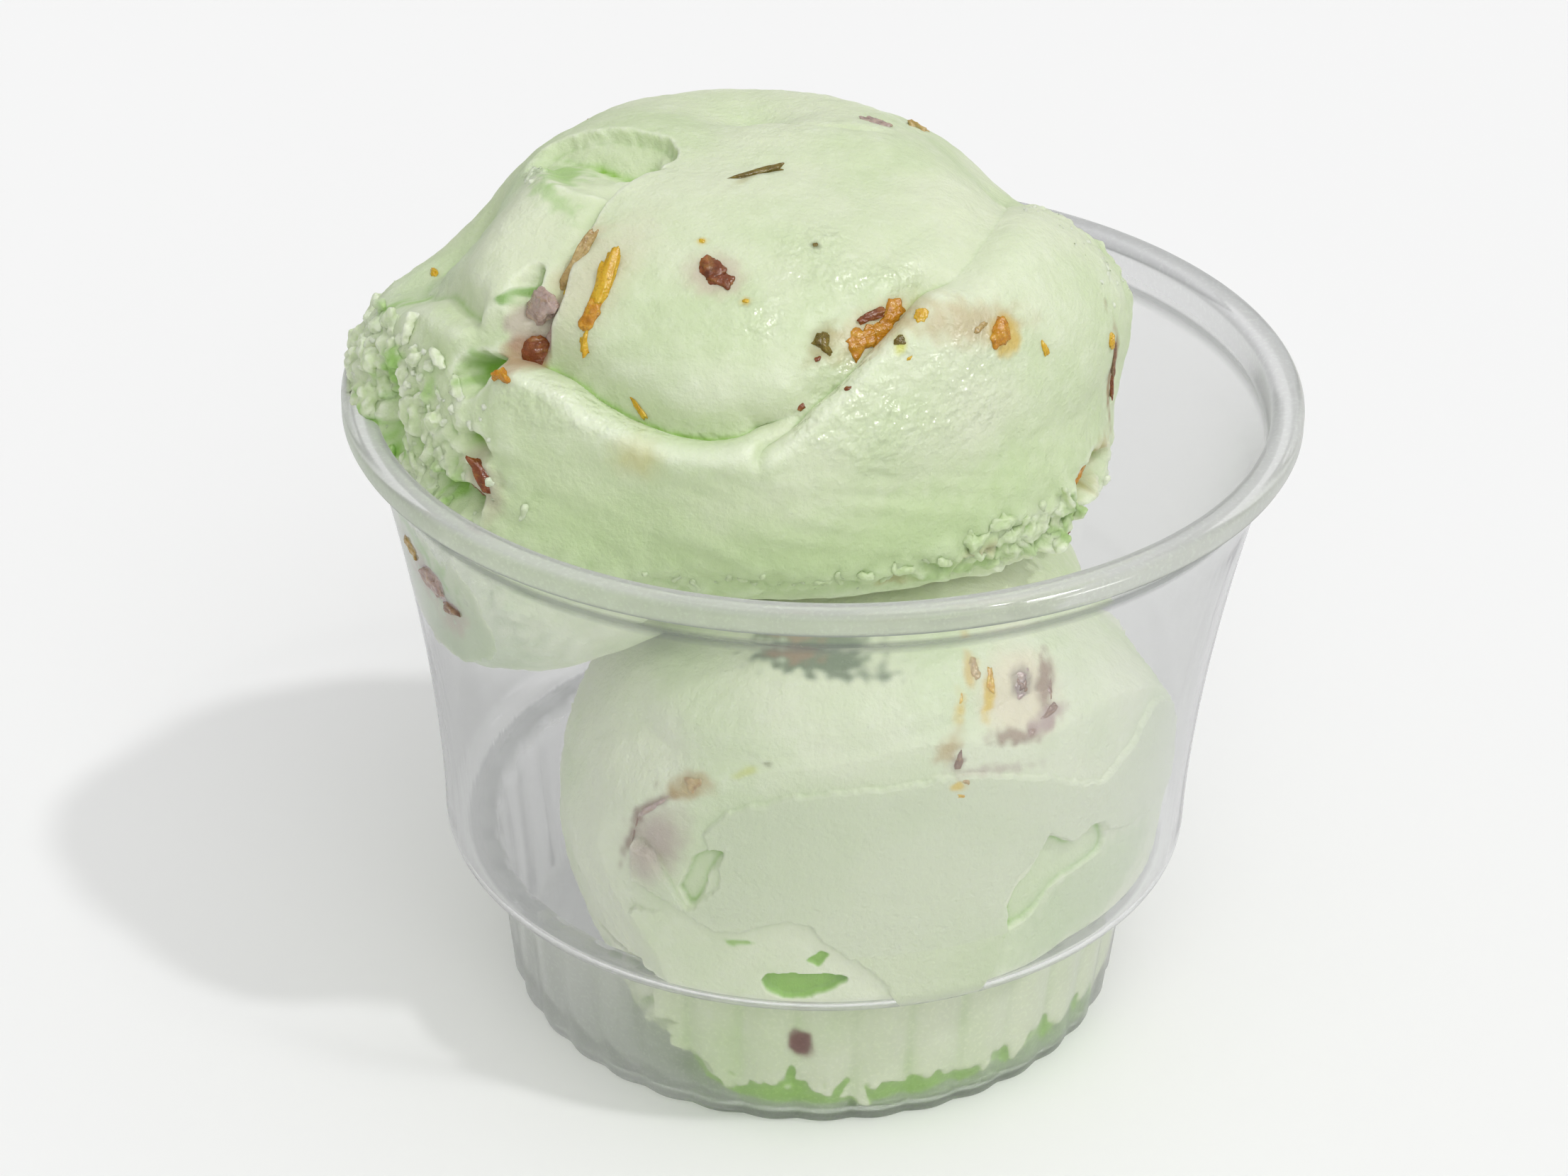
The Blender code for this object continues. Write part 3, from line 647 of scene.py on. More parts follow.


# %% [markdown]
# Gelato looks greener and darker the deeper a crease or pit is, because light that gets in there bounces
# between green walls, while its crests are frosty and catch more light, so they look nearly white. Both are
# painted into the colour: painted shade in the creases and pits, and on the crests a near white that is
# partly frost and partly painted light. How deep or high a point lies can be measured: smooth the mesh, and
# see how far each point lies below or above the smoothed surface. The result is an attribute that the
# material reads.


# %% How hollow each point lies
def hollowness(bm, rounds, full):
    """0 where the surface is flat, 1 where it lies `full` mm or more below its smoothed self, -1 above it."""
    bm.verts.ensure_lookup_table()
    bm.verts.index_update()
    start = np.array([v.co for v in bm.verts])
    normals = np.array([v.normal for v in bm.verts])
    pairs = np.array([(e.verts[0].index, e.verts[1].index) for e in bm.edges])
    degree = np.bincount(pairs.ravel(), minlength=len(start))[:, None]
    smooth = start.copy()
    for _ in range(rounds):
        total = np.zeros_like(smooth)
        for axis in range(3):
            total[:, axis] = np.bincount(pairs[:, 0], smooth[pairs[:, 1], axis], len(start))
            total[:, axis] += np.bincount(pairs[:, 1], smooth[pairs[:, 0], axis], len(start))
        smooth = 0.5 * smooth + 0.5 * total / degree
    return np.clip(((smooth - start) * normals).sum(1) / full, -1, 1)


# %% [markdown]
# Pistachio pieces were smeared along when the scoop was rolled, so most lie level with its skin, and oil
# and colour have run a little into the gelato round them. Those stains are painted on the scoop's own
# points: each is an oval in the plane that touches the scoop there, with a ragged, fuzzy edge, and later
# stains lie on earlier ones. The same ovals also paint shade: darker greens in pits, under overhangs and on
# the side away from the light, and a dark gap between the scoops.


# %% Stains round the pistachio pieces, and patches of painted shade
def in_plane(towards, longitude, latitude, turn):
    """(mm across, mm up) from a place on the ball, turned by `turn` degrees, and whether on that side."""
    out = direction(longitude, latitude)
    sideways = np.cross((0.0, 0.0, 1.0), out)
    sideways /= np.linalg.norm(sideways)
    upright = np.cross(out, sideways)
    x, y = towards @ sideways * TYPICAL_DISTANCE, towards @ upright * TYPICAL_DISTANCE
    c, s = math.cos(math.radians(turn)), math.sin(math.radians(turn))
    return x * c + y * s, y * c - x * s, towards @ out > 0.5


def oval(towards, longitude, latitude, length, width, turn, fuzz, ragged):
    """1 inside an oval patch of that size in mm, falling to 0 over `fuzz` mm at a ragged edge."""
    along, across, near = in_plane(towards, longitude, latitude, turn)
    reach = np.hypot(along / (length / 2), across / (width / 2))
    found = np.zeros(len(towards))
    close = near & (reach < 3)
    edge = (reach[close] - 1) * width / 2
    edge += ragged * noises(towards[close] * TYPICAL_DISTANCE, 0.9, 21.0)
    found[close] = ramp(-edge, -fuzz, fuzz)
    return found


def painted(towards, stains):
    """(colour, strength) of all stains and patches of painted shade for each direction.

    Each row is longitude, latitude, length, width, turn, fuzz, raggedness, colour and share.
    """
    colour, strength = np.zeros((len(towards), 3)), np.zeros(len(towards))
    for lon, lat, length, width, turn, fuzz, ragged, tint, share in stains:
        shape = share * oval(towards, lon, lat, length, width, turn, fuzz, ragged)
        mixed = shape / np.maximum(shape + strength * (1 - shape), 1e-6)
        colour = colour * (1 - mixed[:, None]) + np.array(tint) * mixed[:, None]
        strength = shape + strength * (1 - shape)
    return colour, strength


def paint_colour(bm, name, colours):
    layer = bm.verts.layers.float_color.new(name)
    for vert, (red, green, blue) in zip(bm.verts, colours):
        vert[layer] = (red, green, blue, 1.0)


# %% [markdown]
# Pistachio gelato is a pale, slightly cool green, and light goes a little way into it, so its shadows stay
# soft: that is subsurface scattering. Its skin is matt with wet places that glint, so the roughness varies,
# and drops about a millimetre across break the glints up. Creases and pits get a painted shade of fresh,
# deep green and crests a near white of frost and painted light, both from one attribute; fine mottling
# keeps the colour from looking like paint, oily pistachio pieces stain what is round them, some patches of
# painted shade lie over pits, undersides and the side away from the light, and where gelato lies on plastic
# it looks flatter and greyer.

# %% Gelato
GELATO = rgb(0.585, 0.685, 0.425)
GELATO_PALE = rgb(0.69, 0.745, 0.545)
# The frosty white is also painted light on crests, and the deep green is painted shade in creases, pits and
# gaps.
GELATO_FROST_AND_CREST_LIGHT = rgb(0.79, 0.84, 0.68)
GELATO_CREASE_SHADE = rgb(0.26, 0.50, 0.06)
GELATO_PRESSED = rgb(0.54, 0.61, 0.42)


def gelato(name, pale_from=0.35):
    s = Shader(name)
    cloud = s.noise(16.0, detail=2.0).ramp(pale_from, pale_from + 0.33)
    crease_shade_and_crest_light = s.attribute("crease_shade_and_crest_light")
    pressed = s.attribute("pressed")
    wet = s.attribute("wet")
    colour = s.mix(cloud, GELATO, GELATO_PALE)
    mottled = s.noise(1.8, detail=5.0, roughness=0.65).ramp(0.46, 0.78) * 0.30
    colour = s.mix(mottled, colour, GELATO_FROST_AND_CREST_LIGHT)
    # Crests go to frosty white: partly frost, partly painted light.
    colour = s.mix((crease_shade_and_crest_light * -1.0).ramp(0.05, 0.60) * 0.65, colour, GELATO_FROST_AND_CREST_LIGHT)
    # Creases, pits, pockets and the foot's gap go to deep green: painted shade.
    colour = s.mix(crease_shade_and_crest_light.ramp(0.06, 0.85), colour, GELATO_CREASE_SHADE)
    colour = s.mix(pressed * 0.8, colour, GELATO_PRESSED)
    # The stain attributes hold pistachio stains and also patches of painted shade.
    colour = s.mix(s.attribute("stain_and_shade_share"), colour, s.attribute("stain_and_shade_colour", "Color"))
    grain = s.noise(0.55, detail=3.0, roughness=0.6)
    skin = s.noise(2.4, detail=3.0)
    drops = s.noise(1.0, detail=1.5)
    relief = skin + grain * (wet * -0.2 + 0.65) + drops * wet * 2.3
    bump = s.node("ShaderNodeBump", {}, {"Strength": 0.55, "Distance": 0.0005, "Height": relief})
    beads = s.noise(1.6, detail=3.0, roughness=0.6).ramp(0.44, 0.54)
    look = s.node(
        "ShaderNodeBsdfPrincipled",
        {},
        {
            "Base Color": colour,
            "Roughness": 0.66 - wet * (beads * 0.48 + 0.06),
            "IOR": 1.42,
            "Subsurface Weight": 0.35,
            "Subsurface Radius": (1.0, 1.1, 0.7),
            "Subsurface Scale": 0.0014,
            "Normal": bump,
        },
    )
    return s.surface(look)


# %% [markdown]
# The lower scoop sits in the foot and leans on the front of the wall. Its table is the solids' own. Where
# it would pass through the plastic it is pressed flat: its points are brought back to just inside the
# sheet, so that no air gap shows, and an attribute marks them.

# %% The lower scoop's sizes
LOWER_CENTRE = (5.0, -7.0, 29.5)
LOWER_DISTANCES = (
    (-102, 17, 27.0), (-98, 10, 28.4), (-92, 1, 29.8), (-86, -8, 30.7), (-76, -23, 31.8), (-71, -30, 31.8),
    (112, 33, 27.5), (104, 24, 27.0), (99, 16, 27.8), (93, 8, 28.8), (90, 0, 29.8), (88, -12, 31.5),
    (85, -30, 34.0),
    (-27, 15, 35.0), (-12, 20, 34.9), (4, 21, 34.5), (20, 22, 33.4), (43, 15, 31.4), (57, 20, 33.0),
    (-20, 0, 37.0), (0, 0, 37.0), (20, 0, 36.5), (42, 0, 34.0), (62, 0, 35.0), (0, -20, 39.0),
    (40, -20, 38.5),
    (0, -42, 42.0), (45, -45, 42.0), (-24, -36, 38.0),
    (-46, 17, 33.0), (-46, 0, 33.4), (-62, 0, 31.6), (-46, -27, 33.2), (-62, -32, 33.0), (-84, -48, 34.0),
    (0, 60, 30.5), (-60, 55, 28.5), (60, 55, 30.0), (120, 55, 28.0), (180, 50, 28.5), (-120, 50, 27.0),
    (0, 90, 27.3),
    (-38, 42, 32.0), (0, 42, 33.0), (30, 42, 32.0), (70, 38, 29.5), (180, 0, 31.0), (150, 0, 31.0),
    (-150, 0, 29.6),
    (180, -30, 31.0), (-140, -30, 28.5), (140, -30, 32.0), (0, -90, 28.5), (180, -60, 30.0),
    (-120, -55, 29.0),
)
LOWER_FOLDS = (
    (((-60, 30), (-38, 24), (-14, 28), (10, 33), (36, 36), (60, 30)), 0.7, 4.0, 2.5, 0.5, 7.0, 1, 0.5),
    (((-150, 24), (-118, 18), (-92, 14), (-70, -2), (-58, -18)), 1.0, 4.0, 2.0, 0.7, 7.0, 1, 0.5),
    (((96, 30), (120, 22), (150, 18), (-175, 26)), 1.2, 4.0, 2.0, 0.9, 7.0, -1, 0.5),
)
LOWER_SWELLINGS = ((-33, -2, 5, 7, -1.6),)
LOWER_TORN = ((-42, -36, 16, 12, 0.9), (140, -20, 60, 24, 0.8))
SEAT_Z = 56.4
INTO_PLASTIC = 0.15  # mm that the gelato reaches into the sheet
INTO_FLUTES = 0.32  # more in the foot, because the gelato's faces are too wide to follow the flutes

# %% [markdown]
# Air stayed between the gelato and the plastic in several places. The flat patch that really touches has a
# ragged outline; above it the ball curves away from the wall, below it lies a second ribbon with its own
# edge, and small pockets with crisp, saturated green edges cut into both. Each is a closed outline on the
# ball, with two numbers: how far behind the plastic the gelato lies there, and how much painted shade, a
# deep green, it gets.

# %% Where the lower scoop touches the plastic
TOUCHING = (
    (-31, -3), (-24, -5), (-17, -3), (-11, -2), (-6, -5), (-2, -8), (3, -11), (6, -15), (10, -20),
    (16, -25), (21, -21),
    (25, -14), (28, -7), (27, -3), (29, 1), (33, 4), (36, 8), (39, 5), (43, 4), (48, 6), (51, 3), (57, 1),
    (66, 0),
    (76, 2), (78, 14), (68, 21), (60, 17), (50, 13), (42, 16), (33, 20), (21, 23), (8, 23), (-4, 22),
    (-12, 21),
    (-20, 18), (-27, 13), (-26, 8), (-24, 4), (-27, 0),
)
RIBBON = (
    (-46, -10), (-38, -6), (-30, -4), (-23, -6), (-16, -4), (-11, -3), (-6, -6), (-2, -9), (3, -12),
    (6, -16), (10, -21),
    (14, -30), (-10, -34), (-44, -30), (-50, -20),
)
POCKETS = (
    (((-18, -13), (-15, -11.5), (-9, -11), (-3, -11.5), (-2, -13), (-6, -15), (-11, -16.5), (-16, -15.5)),
     1.5, 1.0),
    (((-9.5, -9), (-7, -7), (-5, -8), (-7, -10.5)), 0.9, 0.9),
    (((-33, 1), (-31, -2), (-28, -1), (-26, 4), (-24, 9), (-27, 9), (-30, 7)), 1.2, 0.22),
    (((28, -9), (33, -8), (40, -4), (48, -3), (52, -1), (51, 4), (46, 5), (42, 4), (37, 7), (33, 2),
     (28, -3)),
     1.2, 0.30),
    (((-24, -6.5), (-19, -6), (-18, -7), (-23, -8)), 0.7, 0.5),
)
GAP_ABOVE, GAP_RIBBON, GAP_STEP = 1.6, 0.55, 0.55


def gap_behind_plastic(towards):
    """(mm that the gelato lies behind the plastic, share of painted shade in the pockets) for each direction.
    """
    ragged = 0.35 * noises(towards * TYPICAL_DISTANCE, 1.3, 4.0)
    ragged += 0.20 * noises(towards * TYPICAL_DISTANCE, 0.6, 8.0)
    outside = -within(towards, TOUCHING) + ragged
    gap = GAP_STEP * ramp(outside, 0.0, 0.35) + GAP_ABOVE * ramp(outside, 0.0, 14.0)
    ribbon = within(towards, RIBBON) + ragged
    gap = np.where(ribbon > -0.6, np.minimum(gap, GAP_RIBBON), gap)
    green = np.zeros(len(towards))
    for outline, depth, pocket_shade in POCKETS:
        inside = ramp(within(towards, outline) + 0.6 * ragged, -0.1, 0.45)
        gap = np.maximum(gap, depth * inside)
        # Painted shade in the pockets.
        green = np.maximum(green, pocket_shade * inside)
    return gap, green


def room_inside(z, around):
    """Radius of the cup's inner face at a height and an angle from the front."""
    widened = np.clip((z - FOOT_HEEL) / FOOT_STRAIGHT, 0, 1)
    foot = FOOT_LOW_RADIUS - WALL + (FOOT_TOP_RADIUS - FOOT_LOW_RADIUS) * widened
    foot = foot + FLUTE_DEPTH / 2 * flute_wave(around)
    rise = np.clip((z - (SHOULDER_Z + WALL)) / (SHOULDER_ROUND - WALL), 0, 1)
    shoulder = WALL_LOW_RADIUS - SHOULDER_ROUND + (SHOULDER_ROUND - WALL) * np.sqrt(1 - (1 - rise) ** 2)
    return np.where(z < SHOULDER_Z + WALL, foot, np.minimum(shoulder, wall_radius(z) - WALL))


def keep_inside(points, extra):
    """Brings points back to `extra` mm inside the plastic, and says how far out each one was."""
    around = np.arctan2(points[:, 0], -points[:, 1])
    radius = np.hypot(points[:, 0], points[:, 1])
    most = room_inside(points[:, 2], around) + extra
    past = radius - most
    scale = np.where(past > 0, most / np.maximum(radius, 1e-6), 1.0)
    points[:, :2] *= scale[:, None]
    return past


# %% [markdown]
# At the bottom of the foot the scoop didn't fill the corner: below its torn lower edge the gelato lies a
# little back from the plastic, and a ragged band of painted shade in deep green marks that dark gap just
# above the ring that the cup stands on. Upright bands of darker green are painted in the foot as well: soft
# bands of noise, and bands behind the grooves of the flutes, painted shade where the fluted sheet bends the
# light.

# %% Make the lower scoop
FOOT_EDGE_Z, FOOT_EDGE_RAGGED, FOOT_GAP = 4.9, 3.2, 0.5
SEEN_HALF, SEEN_LOW, SEEN_HIGH = 78, -56, 50  # degrees; the part that shows through the wall gets fine faces


def in_front(towards):
    lon = np.degrees(np.arctan2(towards[:, 0], -towards[:, 1]))
    lat = np.degrees(np.arcsin(towards[:, 2]))
    return (np.abs(lon) < SEEN_HALF) & (lat > SEEN_LOW) & (lat < SEEN_HIGH)


def near_outlines(towards, reach):
    found = np.abs(within(towards, TOUCHING)) < reach
    for outline in (RIBBON, *(pocket for pocket, _, _ in POCKETS)):
        found |= np.abs(within(towards, outline)) < reach
    return found


def make_lower():
    bm, towards = ball(6, in_front, in_front, lambda t: in_front(t) & near_outlines(t, 1.0))
    points = scoop_points(
        towards, LOWER_CENTRE, LOWER_DISTANCES, LOWER_FOLDS, LOWER_SWELLINGS, LOWER_TORN, seed=11.0
    )
    points[:, 2] = np.clip(points[:, 2], FLOOR_RAISE + WALL - INTO_PLASTIC, SEAT_Z)
    gap, green = gap_behind_plastic(towards)
    in_foot = points[:, 2] < SHOULDER_Z
    gap[in_foot] = 0.0
    foot_edge = FOOT_EDGE_Z + FOOT_EDGE_RAGGED * (noises(points, 5.0, 3.0) + 0.5 * noises(points, 1.6, 5.0))
    gap += FOOT_GAP * ramp(foot_edge - points[:, 2], 0.0, 0.8)
    past = keep_inside(points, np.where(in_foot, INTO_FLUTES, INTO_PLASTIC) - gap)
    place(bm, points)
    pressed = ramp(past, 0.0, 0.35) * (1 - ramp(gap, 0.15, 0.45))
    pressed *= np.where(in_foot, 0.2, 0.75)
    # Painted shade in the foot: upright bands of darker green, some behind the flutes' grooves.
    streaks = 0.20 * ramp(noises(points * (1.0, 1.0, 0.35), 3.5, 15.0), -0.2, 0.4)
    streaks += 0.13 * ramp(-flute_wave(np.arctan2(points[:, 0], -points[:, 1])), -0.6, 0.8)
    # Painted shade: deep green along the gap under the torn lower edge, added to the pockets' shade.
    green += 0.9 * ramp(foot_edge - points[:, 2], 0.0, 1.0) + np.where(in_foot, streaks, 0)
    crease_shade_and_crest_light = hollowness(bm, rounds=24, full=0.8) * (1 - pressed)
    # Painted shade in creases, pockets and the foot, and frosty white, partly painted light, on crests.
    paint(bm, "crease_shade_and_crest_light", np.clip(np.maximum(crease_shade_and_crest_light, 0) + green + np.minimum(crease_shade_and_crest_light, 0) * 0.5, -1, 1))
    paint(bm, "pressed", pressed)
    paint(bm, "wet", 0.12 * (1 - pressed))
    colour, strength = painted(towards, LOWER_STAINS_AND_SHADE)
    paint(bm, "stain_and_shade_share", strength)
    paint_colour(bm, "stain_and_shade_colour", colour)
    look = gelato("lower_gelato", pale_from=0.30)
    return finish_piece("lower_gelato", bm, look, node="lower_scoop")


# %% Stains and painted shade on the lower scoop
YELLOW, OCHRE = (0.66, 0.47, 0.03), (0.42, 0.30, 0.10)
MAUVE, SKIN, DARK_OLIVE = (0.40, 0.30, 0.26), (0.24, 0.15, 0.09), (0.12, 0.13, 0.03)
LOWER_STAINS_AND_SHADE = (
    # The first row paints the right side below the touching patch a darker green. The second is painted
    # shade: the dark gap under the upper scoop, seen through the neck. The rest are pistachio stains.
    (50, -9, 22.0, 8.0, 10, 1.5, 1.0, (0.43, 0.56, 0.30), 0.6),
    (-13, 45, 10.5, 3.2, 0, 0.7, 1.0, (0.07, 0.13, 0.05), 0.85),
    (-19, 46, 4.0, 2.0, 0, 0.5, 0.8, (0.36, 0.22, 0.12), 0.7),
    (-37, 8, 7.0, 4.6, 60, 1.6, 0.5, MAUVE, 0.75),
    (-42, 8, 6.0, 0.7, 72, 0.35, 0.4, SKIN, 0.8),
    (-38, 15, 5.0, 0.8, 42, 0.35, 0.4, SKIN, 0.85),
    (-32, 20, 4.2, 2.2, 25, 0.7, 0.5, OCHRE, 0.85),
    (32, 37, 8.5, 8.0, 0, 1.6, 0.6, (0.72, 0.64, 0.46), 0.7),
    (39, 37, 5.5, 1.8, 70, 0.5, 0.5, SKIN, 0.85),
    (36, 31, 5.0, 1.6, 15, 0.5, 0.5, MAUVE, 0.9),
    (28, 30, 4.5, 1.5, -12, 0.5, 0.5, SKIN, 0.8),
    (33, 39, 2.6, 3.0, 0, 0.5, 0.5, (0.25, 0.20, 0.15), 0.7),
    (24, 38, 3.4, 1.1, 75, 0.4, 0.4, YELLOW, 0.9),
    (17, 37, 2.6, 1.0, 75, 0.4, 0.4, YELLOW, 0.7),
    (21, 43, 3.0, 1.2, 80, 0.4, 0.4, (0.6, 0.42, 0.08), 0.8),
    (14, 30, 3.2, 1.6, 60, 0.6, 0.6, OCHRE, 0.75),
    (16, 26, 2.2, 1.1, 80, 0.4, 0.4, SKIN, 0.7),
    (24, 24, 6.0, 0.9, -6, 0.5, 0.5, MAUVE, 0.5),
    (16, 22, 1.3, 0.9, 0, 0.3, 0.3, YELLOW, 0.8),
    (-10.5, -29, 2.4, 2.8, 20, 0.3, 0.5, (0.16, 0.05, 0.04), 0.97),
    (6, -19, 0.9, 0.8, 0, 0.2, 0.1, DARK_OLIVE, 0.9),
    (-22, 25, 1.6, 0.6, 30, 0.3, 0.3, (0.5, 0.55, 0.1), 0.7),
    (-19, 27, 0.8, 0.5, 0, 0.3, 0.2, DARK_OLIVE, 0.7),
)

lower = make_lower()

# %% [markdown]
# The upper scoop is the one that everybody looks at. A dome is wrapped by a thick ribbon that comes out
# from under it at the left, runs across the front and folds back over it at the right, and the left side is
# torn where the spoon left it, with a craggy skirt that hangs over the rim.

# %% The upper scoop's sizes
UPPER_CENTRE = (-6.0, -1.0, 70.0)
UPPER_DISTANCES = (
    (-95, 16, 30.2), (-100, 23, 30.0), (-112, 37, 28.2), (-124, 49, 26.0), (-150, 60, 23.0), (172, 63, 22.7),
    (147, 59, 23.6), (126, 49, 25.2), (113, 37, 26.2), (104, 27, 28.0), (100, 19, 31.8), (96, 11, 34.7),
    (91, 3, 35.3), (88, -5, 34.2), (82, -17, 35.0), (76, -27, 33.5),
    (0, 90, 20.9), (0, 62, 22.9), (-60, 66, 22.6), (60, 62, 22.8), (-10, 45, 25.8), (-10, 28, 28.8),
    (-30, 30, 28.8),
    (-52, 40, 27.6), (-74, 30, 29.6), (-76, 50, 26.0), (22, 30, 28.2), (60, 38, 28.2),
    (-30, 10, 30.8), (-8, 6, 30.8), (14, 4, 30.8), (-36, -6, 33.4), (-10, -8, 32.0), (16, -8, 31.8),
    (-10, -21, 31.6),
    (18, -20, 32.0),
    (38, 20, 30.6), (58, 16, 32.6), (76, 12, 34.4), (40, -4, 31.8), (60, -6, 33.6), (46, -19, 34.2),
    (64, -15, 35.0),
    (-61, 0, 35.0), (-50, -6, 35.6), (-76, 0, 37.2), (-91, 2, 38.6), (-91, -4, 39.0), (-104, 0, 37.4),
    (-62, -15, 38.0),
    (-68, -33, 42.0), (-56, -33, 42.0), (-44, -32, 40.5), (-84, -33, 40.0), (-100, -30, 36.0),
    (-60, -47, 31.0),
    (-62, -62, 18.0), (-92, -46, 26.0), (-118, -30, 30.0), (-118, -6, 33.5),
    (180, 20, 28.8), (-150, 20, 29.4), (148, 16, 30.4), (-130, 12, 31.0), (180, -5, 29.5), (132, 0, 32.0),
    (-134, -15, 31.5), (180, -22, 28.5), (150, -22, 29.5), (112, -20, 32.5),
    (0, -90, 13.4), (0, -45, 19.0), (60, -45, 19.0), (120, -45, 19.0), (180, -45, 19.0), (-24, -33, 33.0),
    (2, -33, 25.5), (36, -33, 25.5), (72, -36, 25.0), (120, -33, 25.0), (170, -34, 24.0), (-140, -36, 24.0),
)
UPPER_FOLDS = (
    (((-62, 64), (-55, 56), (-51, 48), (-46, 40), (-43, 32), (-41, 26), (-44, 15)),
     2.0, 1.6, 0.7, 0.7, 5.0, 1, 1.3),
    (((-50, 16), (-43, 15), (-36, 14), (-28, 11), (-20, 9), (-10, 8), (-1, 10), (8, 15)),
     2.2, 3.6, 1.0, 1.5, 3.6, -1, 1.2),
    (((-1, 5), (4, 8), (10, 14), (16, 18), (23, 23), (34, 29), (47, 32)), 1.7, 2.6, 0.9, 0.7, 6.0, -1, 1.3),
    (((30, 28), (47, 32), (62, 35), (78, 35), (96, 30), (114, 22)), 1.0, 3.4, 1.6, 0.6, 6.0, -1, 0.5),
    (((8, 27), (16, 30), (24, 35), (35, 40), (49, 42), (62, 42)), 0.45, 2.2, 1.6, 0.15, 4.0, 1, 0.3),
    (((88, 1), (71, -1), (53, 0), (41, -2), (28, -1), (14, 2)), 0.40, 4.0, 2.6, 0.3, 6.0, -1, 0.0),
    (((-104, 12), (-92, 9), (-80, 12), (-70, 17), (-60, 18), (-52, 19)), 1.6, 2.4, 1.0, 0.9, 3.4, -1, 0.2),
    (((112, 8), (140, 13), (168, 17), (-166, 12), (-140, 6), (-116, 6)), 1.9, 4.0, 1.6, 1.1, 5.0, -1, 0.9),
    (((122, 40), (150, 43), (178, 40), (-156, 34), (-128, 30)), 1.2, 3.6, 1.6, 0.9, 6.0, 1, 0.7),
    (((-170, 62), (168, 70), (130, 70), (108, 54)), 0.5, 1.0, 2.0, 0.4, 7.0, -1, 0.4),
    (((-66, 60), (-67, 48), (-66, 38), (-62, 30), (-54, 24), (-49, 20)), -1.3, 4.5, 3.0, 0.0, 5.0, 1, 0.0),
)
UPPER_SWELLINGS = (
    (180, 58, 80, 20, -0.9),
    (-172, 63, 26, 11, -1.5),
    (108, 30, 22, 20, -0.8),
    (-112, 30, 20, 20, -0.6),
    (-101, 16, 12, 9, -3.2),
    (66, -20, 9, 4, -1.8),
    (-40, 4, 14, 5, 0.7),
    (20, 8, 12, 8, 0.8),
)
UPPER_TORN = (
    (-72, 0, 22, 7, 0.70),
    (-98, -1, 14, 5, 0.6),
    (-88, 24, 12, 9, 0.16),
    (-58, -22, 26, 13, 0.6),
    (-58, -8, 12, 8, 0.65),
    (52, -16, 26, 6, 0.9),
    (94, 20, 10, 16, 0.45),
    (150, -16, 60, 8, 0.8),
    (0, -17, 40, 4, 0.45),
)
WET_PLACES = (
    (11, 42, 8, 8), (18, 45, 7, 7), (24, 39, 6, 4), (18, 20, 7, 7), (40, 18, 11, 6), (38, 10, 11, 4),
    (-22, 9, 22, 2.5),
    (14, 11, 9, 4), (34, 37, 8, 3), (-36, 10, 10, 3), (0, 31, 8, 5), (22, 9, 8, 5),
)
SCOOP_GAP = 0.2

# %% [markdown]
# At the upper left a piece came away and left a smooth hollow with a torn rim. A crack opens beside the
# dark nut, and the skirt below has pits. These are closed outlines too: the gelato drops steeply just
# inside the line, more gently further in, and noise makes the line itself ragged.

# %% Hollows in the upper scoop
HOLLOWS = (
    (((-93, 37), (-87, 41), (-69, 44), (-56, 47), (-55, 53), (-60, 61), (-68, 67), (-93, 67), (-104, 55),
     (-106, 44),
      (-102, 39)), 1.3, 3.6, 8.0, 0.5),
    (((-49, 21), (-46, 23), (-47, 26), (-49, 31), (-52, 31), (-52, 26)), 1.8, 0.6, 1.5, 0.25),
    (((-56, 9), (-52, 8), (-48, 12), (-48, 15), (-51, 15), (-55, 13)), 2.4, 0.6, 1.5, 0.5),
    (((-76, -3), (-70, -9), (-65, -5), (-67, 1), (-72, 5), (-76, 2)), 1.4, 0.8, 3.0, 0.7),
    (((-57, -9), (-50, -11), (-45, -8), (-48, -5), (-55, -6)), 1.6, 0.5, 1.5, 0.5),
    (((60, -13), (67, -16), (76, -13), (74, -9), (66, -8), (60, -10)), 1.8, 0.8, 2.0, 0.6),
    (((-53, 1), (-49, -1), (-45, 0), (-47, 3), (-51, 4)), 1.3, 0.5, 1.5, 0.5),
)


def hollows(towards):
    """How far each direction drops, in mm, in the hollows and pits."""
    drop = np.zeros(len(towards))
    points = towards * TYPICAL_DISTANCE
    wavy = noises(points, 2.6, 31.0) + 0.6 * noises(points, 1.1, 37.0)
    for outline, step, slope, reach, ragged in HOLLOWS:
        inside = within(towards, outline) + ragged * wavy
        drop = np.maximum(drop, step * ramp(inside, -0.2, 1.0) + slope * ramp(inside, 0.0, reach))
    return drop


def over_lower(points):
    """Keeps the upper scoop's underside just off the lower scoop."""
    from_centre = points - np.array(LOWER_CENTRE)
    distance = np.linalg.norm(from_centre, axis=1)
    towards = from_centre / distance[:, None]
    least = smooth_distance(towards, LOWER_DISTANCES) + SCOOP_GAP
    pushed = np.array(LOWER_CENTRE) + towards * np.maximum(distance, least)[:, None]
    flat = (pushed[:, 2] > SEAT_Z + SCOOP_GAP) & (distance < least)
    pushed[flat] = points[flat]
    pushed[flat, 2] = np.maximum(points[flat, 2], SEAT_Z + SCOOP_GAP)
    return pushed


